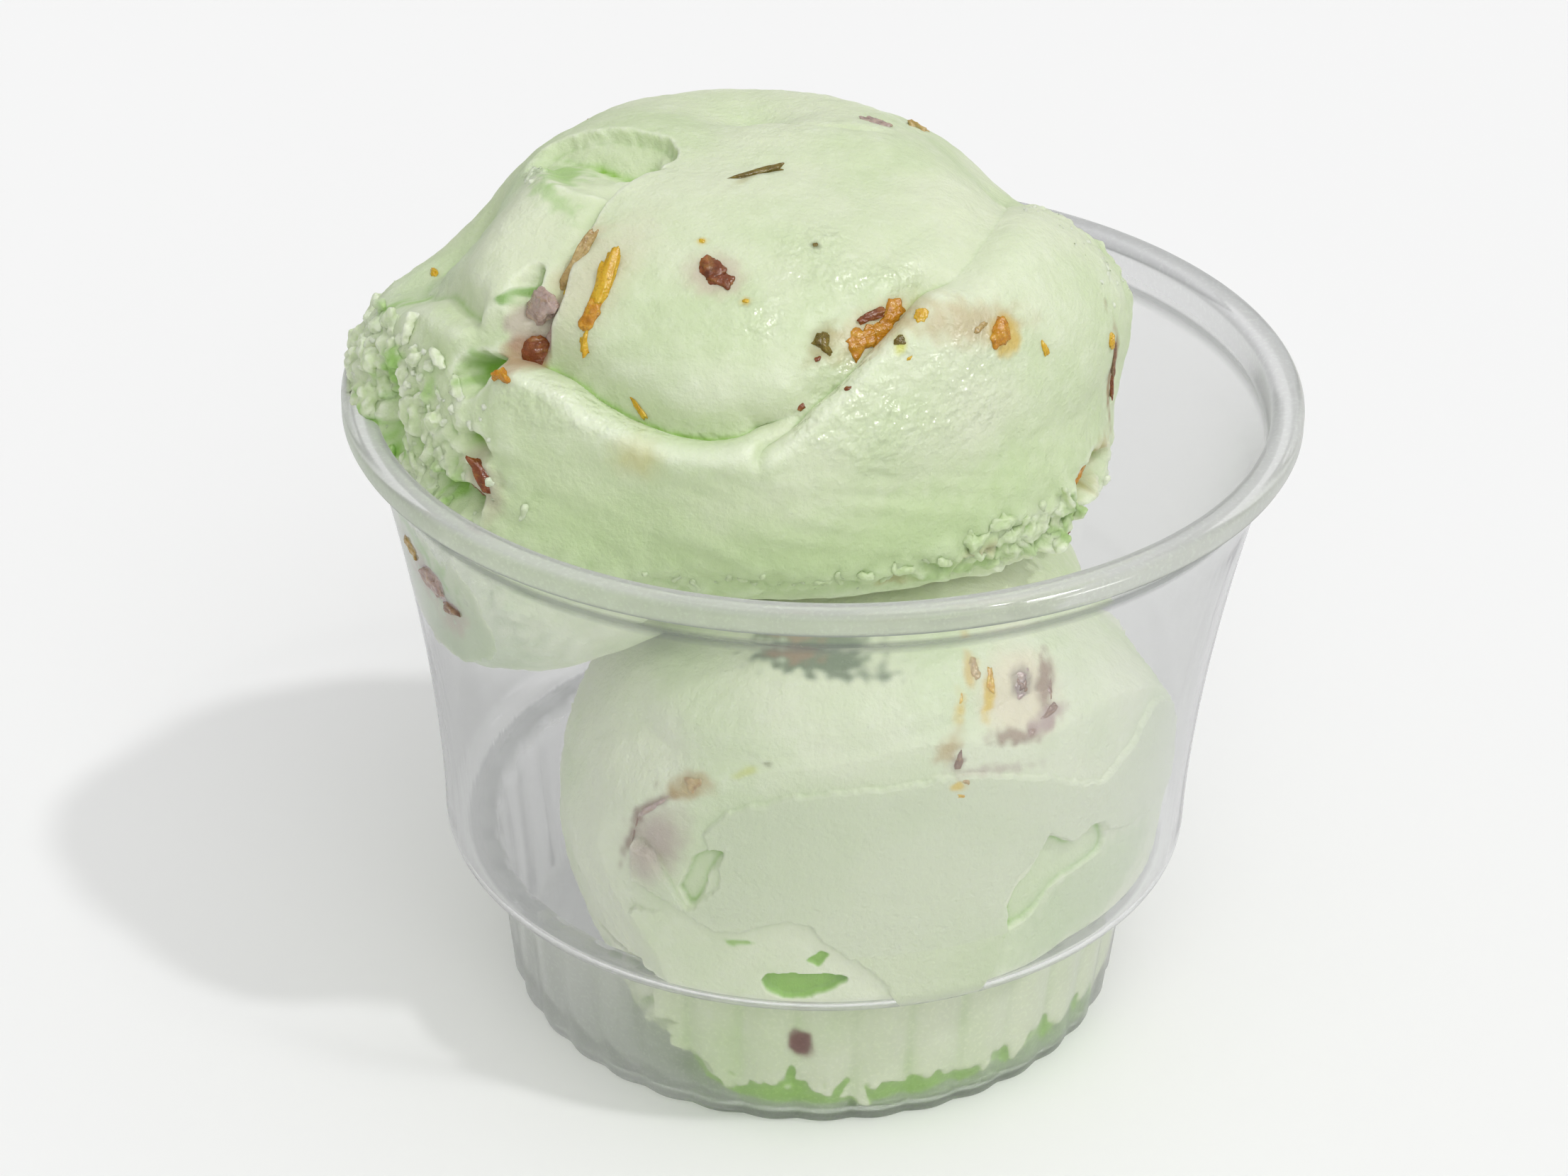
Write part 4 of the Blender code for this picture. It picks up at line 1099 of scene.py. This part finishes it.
def round_rim(points):
    """Keeps points off the rim and inside the wall below it, and says how far past the wall they were."""
    radius = np.hypot(points[:, 0], points[:, 1])
    overhang = RIM_RADIUS - 0.5 + 0.6 * np.clip(points[:, 2] - RIM_TOP, 0, 3)
    points[:, :2] *= np.where(radius > overhang, overhang / np.maximum(radius, 1e-6), 1.0)[:, None]
    radius = np.minimum(radius, overhang)
    low = points[:, 2] < RIM_TOP
    most = np.minimum(wall_radius(points[:, 2]), NECK_RADIUS) - WALL + INTO_PLASTIC
    past = np.where(low, radius - most, -1.0)
    on_top = low & (past > 0) & (past > RIM_TOP - points[:, 2])
    scale = np.where(low & (past > 0) & ~on_top, most / np.maximum(radius, 1e-6), 1.0)
    points[:, :2] *= scale[:, None]
    points[on_top, 2] = RIM_TOP - 0.05
    return past


# %% Painted shade and stains on the upper scoop
PINKISH = (0.66, 0.60, 0.47)
# This first table is painted shade: darker greens under the overhang at the lower left, along the band's low
# front by the rim, on the left side that faces away from the light, and in the hollows, pits, cracks and
# cavities of the torn places.
UPPER_PAINTED_SHADE = (
    (-55, -27, 20, 9, -10, 2.0, 1.0, (0.36, 0.49, 0.26), 0.55),
    (-5, -15, 46, 9, 0, 3.0, 1.0, (0.40, 0.54, 0.25), 0.60),
    (28, -10, 30, 8, 6, 3.0, 1.0, (0.44, 0.57, 0.27), 0.40),
    (-6, -6, 40, 9, 0, 3.0, 1.0, (0.47, 0.60, 0.30), 0.35),
    (-88, 22, 13, 18, 0, 6.0, 0.6, (0.42, 0.56, 0.33), 0.45),
    (-84, 45, 9.0, 3.0, 8, 0.8, 1.2, (0.27, 0.50, 0.10), 0.65),
    (-66, 42, 6.0, 2.0, 0, 0.8, 1.2, (0.30, 0.52, 0.14), 0.50),
    (-50.5, 26, 2.6, 1.1, 80, 0.3, 0.8, (0.14, 0.34, 0.02), 0.75),
    (-53, 12, 2.8, 2.2, 60, 0.5, 1.0, (0.20, 0.40, 0.05), 0.65),
    (-73, 3, 4.0, 2.2, 70, 0.6, 1.2, (0.24, 0.50, 0.06), 0.75),
    (-75, -7, 4.4, 2.0, -30, 0.6, 1.2, (0.24, 0.50, 0.06), 0.75),
    (-68, -6, 3.6, 2.4, 20, 0.6, 1.2, (0.24, 0.50, 0.06), 0.70),
    (-69, -1, 2.6, 1.6, 80, 0.6, 1.2, (0.28, 0.52, 0.08), 0.70),
    (-60, 5, 2.6, 1.4, 100, 0.6, 1.0, (0.28, 0.52, 0.10), 0.55),
    (-53, -7, 3.4, 2.0, 40, 0.6, 1.2, (0.24, 0.48, 0.06), 0.75),
    (-62, -16, 9.0, 1.8, -24, 0.6, 1.2, (0.24, 0.48, 0.06), 0.70),
    (-84, 8, 3.0, 1.4, 60, 0.6, 1.2, (0.30, 0.52, 0.12), 0.60),
    (64, -12, 8.0, 3.0, 16, 0.8, 1.0, (0.26, 0.44, 0.10), 0.70),
    (40, -17, 14.0, 1.6, 4, 0.6, 1.0, (0.28, 0.46, 0.12), 0.55),
)
UPPER_STAINS = (
    (-36, 33, 13.0, 5.0, 88, 2.2, 0.6, PINKISH, 0.55),
    (-45, 22, 5.4, 4.6, 70, 0.5, 0.6, (0.50, 0.43, 0.36), 0.8),
    (-45, 16, 3.8, 3.4, 90, 0.6, 0.5, (0.40, 0.22, 0.12), 0.75),
    (-44, 35, 7.5, 2.4, 84, 0.8, 0.4, (0.52, 0.38, 0.20), 0.6),
    (-11, 39, 5.6, 4.4, -15, 1.1, 0.5, (0.55, 0.46, 0.36), 0.7),
    (-7, 71, 7.0, 1.2, 60, 0.4, 0.3, (0.45, 0.42, 0.2), 0.5),
    (13, 26, 4.0, 2.6, 50, 0.8, 0.5, (0.36, 0.34, 0.15), 0.75),
    (26, 27, 10.5, 4.2, 12, 1.2, 0.6, (0.56, 0.44, 0.22), 0.6),
    (43, 23, 9.0, 3.0, -8, 1.0, 0.6, (0.52, 0.40, 0.22), 0.65),
    (48, 20, 3.2, 3.4, 0, 0.5, 0.4, (0.62, 0.40, 0.03), 0.75),
    (-20, 4, 3.4, 2.2, 0, 1.3, 0.4, (0.60, 0.55, 0.22), 0.6),
    (-17, 46, 0.8, 0.7, 0, 0.3, 0.1, YELLOW, 0.9),
    (-3, 34, 0.7, 0.6, 0, 0.3, 0.1, YELLOW, 0.9),
    (16, 46, 0.8, 0.7, 0, 0.3, 0.1, DARK_OLIVE, 0.9),
    (28, 22, 1.4, 0.8, 60, 0.3, 0.2, (0.60, 0.62, 0.10), 0.9),
    (-79, 2, 1.6, 1.1, 40, 0.4, 0.3, (0.66, 0.62, 0.05), 0.9),
    (-46, -4, 5.0, 3.0, -50, 1.0, 0.6, (0.45, 0.36, 0.30), 0.6),
    (-62, -22, 5.5, 3.0, -10, 0.9, 0.8, (0.42, 0.33, 0.22), 0.8),
    (-52, -26, 4.0, 2.0, 20, 0.8, 0.8, (0.50, 0.40, 0.30), 0.7),
    (70, -11, 5.5, 3.0, 20, 1.0, 0.6, (0.45, 0.30, 0.10), 0.6),
    (77, 3, 9.0, 0.9, 100, 0.35, 0.3, (0.28, 0.14, 0.06), 0.85),
    (24, -18, 3.0, 1.2, -10, 0.6, 0.5, (0.45, 0.40, 0.22), 0.6),
    (40, -14, 3.6, 1.2, 10, 0.6, 0.5, (0.42, 0.36, 0.20), 0.6),
)


# %% Make the upper scoop
FINE_ROWS = 7  # of the folds and of the torn places; the others lie at the back or are soft


def upper_detail(towards):
    rough = sum(patch(towards, lon, lat, across, up) for lon, lat, across, up, _ in UPPER_TORN[:FINE_ROWS])
    return near_folds(towards, UPPER_FOLDS[:FINE_ROWS], 2.5) | (rough > 0.45)


def upper_finest(towards):
    near = np.zeros(len(towards), bool)
    for outline, *_ in HOLLOWS:
        inside = within(towards, outline)
        near |= (inside > -1.2) & (inside < 1.8)
    for lon, lat, length, width, *_ in UPPER_STAINS:
        near |= towards @ direction(lon, lat) > 1 - 0.5 * (0.55 * max(length, width) / TYPICAL_DISTANCE) ** 2
    return near


def make_upper():
    bm, towards = ball(7, lambda t: upper_detail(t) | upper_finest(t))
    points = scoop_points(
        towards, UPPER_CENTRE, UPPER_DISTANCES, UPPER_FOLDS, UPPER_SWELLINGS, UPPER_TORN, seed=2.0
    )
    points -= towards * hollows(towards)[:, None]
    points = over_lower(points)
    past = round_rim(points)
    place(bm, points)
    pressed = 0.35 * ramp(past, 0.0, 0.35)
    wet = np.clip(sum(patch(towards, *w) for w in WET_PLACES), 0, 1)
    # Painted shade in creases and pits, and frosty white, partly painted light, on crests.
    paint(bm, "crease_shade_and_crest_light", hollowness(bm, rounds=24, full=0.8) * (1 - pressed))
    paint(bm, "pressed", pressed)
    paint(bm, "wet", wet)
    # Pistachio stains, and the painted shade of the first table.
    colour, strength = painted(towards, UPPER_PAINTED_SHADE + UPPER_STAINS)
    paint(bm, "stain_and_shade_share", strength)
    paint_colour(bm, "stain_and_shade_colour", colour)
    return finish_piece("upper_gelato", bm, gelato("upper_gelato"), node="upper_scoop")


upper = make_upper()

# %% [markdown]
# The pistachio pieces are chips of the nut with some of its brown and purple skin. Each is a small
# icosphere that is stretched to the chip's length, width and thickness, broken along a few flat planes, and
# roughened. Its place is found by shooting a ray from outside towards the scoop's centre, so that most of
# it is sunk in the skin however the folds run. All chips are one mesh, and their colours are an attribute
# of its points.

# %% Chip colours
CHIP_KINDS = {
    "amber": ((0.52, 0.22, 0.006), (0.64, 0.38, 0.03), (0.22, 0.07, 0.006)),
    "yellow": ((0.64, 0.38, 0.012), (0.72, 0.52, 0.05), (0.42, 0.16, 0.006)),
    "ochre": ((0.46, 0.33, 0.13), (0.58, 0.46, 0.22), (0.26, 0.15, 0.06)),
    "skin": ((0.22, 0.12, 0.07), (0.36, 0.24, 0.16), (0.08, 0.035, 0.02)),
    "mauve": ((0.42, 0.32, 0.28), (0.54, 0.43, 0.36), (0.20, 0.11, 0.09)),
    "red": ((0.19, 0.045, 0.008), (0.34, 0.11, 0.03), (0.07, 0.02, 0.01)),
    "olive": ((0.14, 0.10, 0.008), (0.28, 0.22, 0.04), (0.05, 0.04, 0.01)),
}


# %% One chip
OUTSIDE = 90.0  # mm from a scoop's centre, beyond its skin
SUNK = 0.24  # share of a chip's thickness by which its middle lies under the skin
CHIP_PLANES, CHIP_ROUGHNESS = 4, 0.26


class Skin:
    """A finished scoop's surface, for placing small things on it."""

    def __init__(self, piece, centre):
        self.tree = BVHTree.FromObject(piece, bpy.context.evaluated_depsgraph_get())
        self.centre = Vector(centre)

    def spot(self, longitude, latitude, turn):
        """A matrix in mm, where a ray meets the skin: X along the turned direction, Z out of the surface."""
        out = Vector(direction(longitude, latitude))
        hit, normal, _, _ = self.tree.ray_cast((self.centre + out * OUTSIDE) * MM, -out)
        normal = (normal + out).normalized()
        sideways = Vector((0, 0, 1)).cross(normal).normalized()
        upright = normal.cross(sideways)
        c, s = math.cos(math.radians(turn)), math.sin(math.radians(turn))
        along = sideways * c + upright * s
        frame_of_spot = Matrix((along, normal.cross(along), normal)).transposed().to_4x4()
        frame_of_spot.translation = hit / MM
        return frame_of_spot


def broken_ball(bm, rounds, draw, planes, roughness):
    """An icosphere of about radius 1, broken along flat planes and roughened. Returns its points."""
    verts = bmesh.ops.create_icosphere(bm, subdivisions=rounds, radius=1.0)["verts"]
    points = np.array([v.co for v in verts])
    for _ in range(planes):
        facing = draw.normal(size=3) * (1.0, 1.0, 0.6)
        facing /= np.linalg.norm(facing)
        over = np.maximum(points @ facing - draw.uniform(0.40, 0.8), 0)
        points -= 0.95 * over[:, None] * facing
    shift = float(draw.uniform(0, 90))
    points *= 1 + roughness * (noises(points, 0.5, shift) + 0.5 * noises(points, 0.22, shift))[:, None]
    return verts, points


def add_chip(bm, tint, skin, draw, longitude, latitude, length, width, thick, turn, lift, kind):
    verts, points = broken_ball(bm, 4 if length > 1.5 else 3, draw, CHIP_PLANES, CHIP_ROUGHNESS)
    points[:, 1:] *= np.sqrt(1 + points[:, :1] ** 2)
    main, light, dark = (np.array(colour) for colour in CHIP_KINDS[kind])
    share = 0.5 + 0.5 * noises(points * (length / 2, width / 2, thick / 2), 0.55, float(draw.uniform(0, 50)))
    spot = skin.spot(longitude, latitude, turn)
    for vert, point, tone in zip(verts, points, share):
        colour = main + (light - main) * max(0.0, tone - 0.5) * 2 + (dark - main) * max(0.9 - tone * 2.4, 0.0)
        vert[tint] = (*np.clip(colour, 0, 1), 1.0)
        height = point[2] * thick / 2 + lift - SUNK * thick
        vert.co = spot @ Vector((point[0] * length / 2, point[1] * width / 2, height))


# %% Where the chips lie on the upper scoop
UPPER_CHIPS = (
    (-34.2, 30, 9.6, 2.0, 1.3, 90, 0.05, "yellow"),
    (-34.6, 26, 3.4, 1.6, 1.3, 84, 0.02, "amber"),
    (-44.5, 35, 6.4, 1.2, 1.2, 98, 0.10, "ochre"),
    (-44, 29, 1.7, 0.8, 0.8, 90, 0.10, "yellow"),
    (-46, 24, 4.4, 3.4, 1.6, 60, 0.15, "mauve"),
    (-43, 20.5, 3.4, 2.0, 1.4, 100, 0.15, "mauve"),
    (-44.5, 16.4, 3.8, 3.2, 2.2, 80, 0.35, "red"),
    (-45, 13.4, 2.2, 1.4, 1.2, 10, 0.25, "amber"),
    (-12.5, 39.4, 3.1, 2.6, 1.4, -30, 0.10, "red"),
    (-9.4, 37.6, 2.4, 1.9, 1.1, -20, 0.05, "red"),
    (-7, 71, 6.8, 0.9, 0.9, 60, 0.10, "olive"),
    (13, 25.6, 3.2, 2.3, 1.8, 45, 0.1, "olive"),
    (11.4, 23.2, 0.9, 0.6, 0.6, 0, 0.0, "red"),
    (8, 15, 1.0, 0.7, 0.6, 30, 0.0, "red"),
    (16, 18, 0.8, 0.6, 0.5, 0, 0.0, "red"),
    (21, 25.3, 3.5, 2.7, 1.4, 20, 0.05, "amber"),
    (25, 26.8, 3.6, 3.2, 1.6, 70, 0.05, "amber"),
    (28.8, 29.4, 3.2, 2.4, 1.4, 30, 0.05, "amber"),
    (24.5, 29.8, 3.2, 1.0, 1.0, 8, 0.1, "red"),
    (27, 24.8, 1.6, 0.9, 0.6, 0, 0.0, "olive"),
    (32.5, 28.2, 2.0, 1.3, 0.8, 60, 0.0, "yellow"),
    (47, 21.3, 2.8, 2.8, 1.4, 0, 0.10, "amber"),
    (43, 23, 2.2, 0.8, 0.6, 10, 0.0, "ochre"),
    (56, 15.5, 1.6, 0.8, 0.6, 100, 0.0, "yellow"),
    (74, 9, 1.8, 1.1, 0.8, 80, 0.1, "yellow"),
    (76, 5, 4.2, 0.5, 0.6, 96, 0.1, "skin"),
    (79, -1, 4.4, 0.5, 0.6, 102, 0.1, "red"),
    (-22.5, 12.5, 2.4, 0.8, 0.6, -48, 0.05, "yellow"),
    (-17, 46, 0.6, 0.5, 0.5, 0, 0.0, "yellow"),
    (-3, 34, 0.6, 0.5, 0.4, 0, 0.0, "yellow"),
    (16, 46, 0.7, 0.5, 0.4, 0, 0.0, "olive"),
    (28, 21.5, 1.2, 0.6, 0.5, 60, 0.0, "yellow"),
    (66, -9.5, 5.0, 1.9, 1.6, 28, 0.9, "amber"),
    (69, -9, 3.2, 1.3, 1.2, 10, 1.0, "red"),
    (58, -12, 1.2, 0.8, 0.8, 0, 0.2, "red"),
    (58, -18, 2.8, 0.8, 0.8, 6, 0.3, "skin"),
    (-45.5, -3, 4.4, 1.6, 1.5, 116, 0.4, "red"),
    (-48, -6, 2.6, 1.3, 1.0, 150, 0.2, "skin"),
    (-79, 2, 1.3, 0.9, 0.8, 40, 0.2, "yellow"),
    (-97, 9, 1.6, 0.8, 0.8, 20, 0.2, "yellow"),
    (-57, -23, 5.6, 3.0, 1.6, -12, 0.4, "mauve"),
    (-51, -25, 3.8, 1.5, 1.2, 20, 0.4, "skin"),
    (-63, -21, 3.4, 1.7, 1.2, -20, 0.4, "ochre"),
    (127, 56, 3.6, 1.6, 0.9, 30, 0.15, "mauve"),
)

# %% Where they lie on the lower scoop
LOWER_CHIPS = (
    (33, 38.5, 3.3, 2.4, 1.2, 74, -0.15, "mauve"),
    (33, 38.5, 2.2, 1.2, 1.2, 70, 0.0, "skin"),
    (40.5, 36.5, 3.8, 1.3, 0.8, 68, -0.1, "skin"),
    (37, 31.5, 3.6, 1.1, 0.8, 22, -0.1, "skin"),
    (30, 30, 3.8, 0.9, 0.8, -8, -0.1, "skin"),
    (25, 40, 3.0, 1.0, 0.8, 80, -0.1, "yellow"),
    (18, 38, 2.0, 0.8, 0.6, 80, -0.1, "yellow"),
    (22, 43, 2.8, 1.3, 0.8, 85, -0.1, "ochre"),
    (16, 29, 2.6, 1.2, 0.8, 72, -0.1, "skin"),
    (17, 25, 1.6, 0.8, 0.6, 80, -0.1, "ochre"),
    (16, 22, 1.1, 0.7, 0.5, 0, -0.1, "yellow"),
    (-42, 8.5, 5.0, 0.7, 0.7, 76, -0.1, "skin"),
    (-38, 15, 4.4, 0.8, 0.8, 44, -0.1, "mauve"),
    (-31.5, 20.5, 3.0, 1.8, 1.0, 20, -0.15, "ochre"),
    (-10.5, -29, 2.3, 2.0, 1.2, 100, -0.30, "red"),
)
UNSEEN_CHIPS = 22


# %% Make the chips
def chip_look():
    s = Shader("pistachio_chip")
    tint = s.attribute("tint", "Color")
    flecks = s.noise(0.45, detail=3.0, roughness=0.65)
    fibres = s.noise(0.9, detail=3.0, stretch=(0.5, 0.5, 2.0))
    colour = s.mix(flecks.ramp(0.50, 0.80) * 0.55, tint, rgb(0.12, 0.04, 0.01))
    colour = s.mix(fibres.ramp(0.50, 0.75) * 0.15, colour, rgb(0.78, 0.55, 0.10))
    bump = s.node("ShaderNodeBump", {}, {"Strength": 0.5, "Distance": 0.0003, "Height": flecks + fibres})
    inputs = {"Base Color": colour, "Roughness": 0.36 - flecks * 0.20, "IOR": 1.48, "Normal": bump}
    inputs |= {"Subsurface Weight": 0.3, "Subsurface Radius": (1.0, 0.5, 0.2), "Subsurface Scale": 0.0006}
    return s.surface(s.node("ShaderNodeBsdfPrincipled", {}, inputs))


def make_chips():
    bm = bmesh.new()
    tint = bm.verts.layers.float_color.new("tint")
    draw = np.random.default_rng(7)
    upper_skin, lower_skin = Skin(upper, UPPER_CENTRE), Skin(lower, LOWER_CENTRE)
    for chip in UPPER_CHIPS:
        add_chip(bm, tint, upper_skin, draw, *chip)
    for chip in LOWER_CHIPS:
        add_chip(bm, tint, lower_skin, draw, *chip)
    kinds = list(CHIP_KINDS)
    for _ in range(UNSEEN_CHIPS):
        length = draw.uniform(0.9, 4.5)
        sizes = length, length * draw.uniform(0.3, 0.8), min(1.2, 0.6 * length)
        spot = draw.uniform(122, 232), draw.uniform(-14, 36)
        turn, kind = draw.uniform(0, 180), kinds[draw.integers(len(kinds))]
        add_chip(bm, tint, upper_skin, draw, *spot, *sizes, turn, 0.05, kind)
    return finish_piece("pistachio_chips", bm, chip_look())


make_chips()

# %% [markdown]
# Crumbs and short teeth of gelato stand on the torn skirt and hang from the ragged lower edge. Loose balls
# would look like gravel, so hundreds of broken icospheres of mixed sizes are pushed a little more than half
# into the scoop and into each other, and a voxel remesh fuses them into one craggy skin. Fine noise then
# roughens that skin; its own hollows get painted shade in green and its crests a frosty white that is partly
# painted light, and the upper scoop's patches of painted shade lie on it too. The pits stay open. The teeth
# are longer lumps that lie along the skin.

# %% Where the crumbs lie
CRUMB_FIELDS = (
    (-73, 0, 13, 6, 24, 2.2, 3.4), (-72, 0, 15, 8, 110, 1.0, 2.0), (-72, 0, 15, 8, 150, 0.6, 1.0),
    (-94, -1, 7, 3, 8, 2.0, 2.8), (-94, 0, 8, 4, 50, 0.8, 1.6), (-58, -8, 9, 6, 12, 1.6, 2.6),
    (-58, -8, 11, 7, 70, 0.6, 1.4), (50, -14, 13, 2.5, 12, 1.6, 2.6), (50, -14, 14, 3.2, 70, 0.6, 1.4),
    (8, -16, 22, 2.2, 44, 0.5, 1.1), (-86, 41, 12, 2.5, 30, 0.5, 1.0), (84, 22, 5, 10, 46, 0.5, 0.9),
    (-60, -24, 12, 6, 36, 0.8, 2.0), (170, -16, 60, 5, 90, 0.6, 1.8),
)
TEETH = (
    (43, -10, 4.2, 1.3, -6), (47, -12, 3.6, 1.2, 80), (50, -14, 3.4, 1.0, -72), (52, -16, 2.6, 0.9, -60),
    (56, -10, 4.8, 1.3, -62), (58, -13, 3.2, 1.1, -80), (38, -12, 3.4, 1.1, 20), (32, -14, 2.8, 1.0, -30),
    (25, -15, 2.6, 1.0, 10), (18, -15, 2.4, 0.9, -10), (62, -15, 2.8, 1.1, -75), (46, -16, 2.2, 0.9, 70),
    (-66, 8, 3.6, 1.5, 40), (-70, 11, 3.4, 1.4, 100), (-60, 11, 3.8, 1.3, -20), (-54, 8, 3.0, 1.2, -50),
    (-64, 2, 3.2, 1.3, 10), (-78, 9, 3.6, 1.5, 60), (-86, 7, 3.4, 1.4, 20),
)
CRUMB_VOXEL, CRUMB_PLANES, CRUMB_ROUGHNESS = 0.26, 3, 0.22
CRUMB_SUNK, TOOTH_LIFT, IN_PIT = 0.12, 0.2, 0.5


def add_lump(bm, skin, draw, longitude, latitude, length, width, turn, lift):
    verts, points = broken_ball(bm, 3, draw, CRUMB_PLANES, CRUMB_ROUGHNESS)
    spot = skin.spot(longitude, latitude, turn)
    for vert, point in zip(verts, points):
        vert.co = spot @ Vector((point[0] * length / 2, point[1] * width / 2, point[2] * width / 2 + lift))


# %% Fuse overlapping lumps
def fused(bm, voxel):
    """One closed skin round overlapping closed lumps."""
    mesh = bpy.data.meshes.new("loose_lumps")
    bm.to_mesh(mesh)
    bm.free()
    loose = bpy.data.objects.new("loose_lumps", mesh)
    bpy.context.scene.collection.objects.link(loose)
    remesh = loose.modifiers.new("fuse", "REMESH")
    remesh.mode = "VOXEL"
    remesh.voxel_size = voxel
    remeshed = bpy.data.meshes.new_from_object(loose.evaluated_get(bpy.context.evaluated_depsgraph_get()))
    made = bmesh.new()
    made.from_mesh(remeshed)
    bpy.data.objects.remove(loose)
    bpy.data.meshes.remove(mesh)
    bpy.data.meshes.remove(remeshed)
    bmesh.ops.triangulate(made, faces=made.faces)
    return made


# %% Make the crumbs
def make_crumbs():
    bm = bmesh.new()
    draw = np.random.default_rng(11)
    skin = Skin(upper, UPPER_CENTRE)
    for lon, lat, across, up, count, least, most in CRUMB_FIELDS:
        spots = draw.normal(size=(count, 2)) * (across / 1.6, up / 1.6) + (lon, lat)
        in_pit = hollows(np.array([direction(*spot) for spot in spots])) > IN_PIT
        for spot in spots[~in_pit]:
            size = draw.uniform(least, most)
            width = size * draw.uniform(0.55, 0.95)
            add_lump(bm, skin, draw, *spot, size, width, draw.uniform(0, 180), -CRUMB_SUNK * width)
    for lon, lat, length, width, turn in TEETH:
        add_lump(bm, skin, draw, lon, lat, length, width, turn, width * TOOTH_LIFT)
    bm = fused(bm, CRUMB_VOXEL)
    bm.normal_update()
    points = np.array([v.co for v in bm.verts])
    normals = np.array([v.normal for v in bm.verts])
    rough = 0.10 * lumps(points, 1.0, 3.0) + 0.08 * noises(points, 0.5, 6.0)
    points += normals * rough[:, None]
    round_rim(points)
    place(bm, points)
    # Painted shade in the crumbs' hollows, and frosty white, partly painted light, on their crests.
    paint(bm, "crease_shade_and_crest_light", hollowness(bm, rounds=16, full=0.45))
    paint(bm, "wet", np.full(len(points), 0.35))
    from_centre = points - np.array(UPPER_CENTRE)
    # The upper scoop's patches of painted shade.
    colour, strength = painted(from_centre / np.linalg.norm(from_centre, axis=1)[:, None], UPPER_PAINTED_SHADE)
    paint(bm, "stain_and_shade_share", strength)
    paint_colour(bm, "stain_and_shade_colour", colour)
    return finish_piece("gelato_crumbs", bm, gelato("gelato_crumbs"))


make_crumbs()
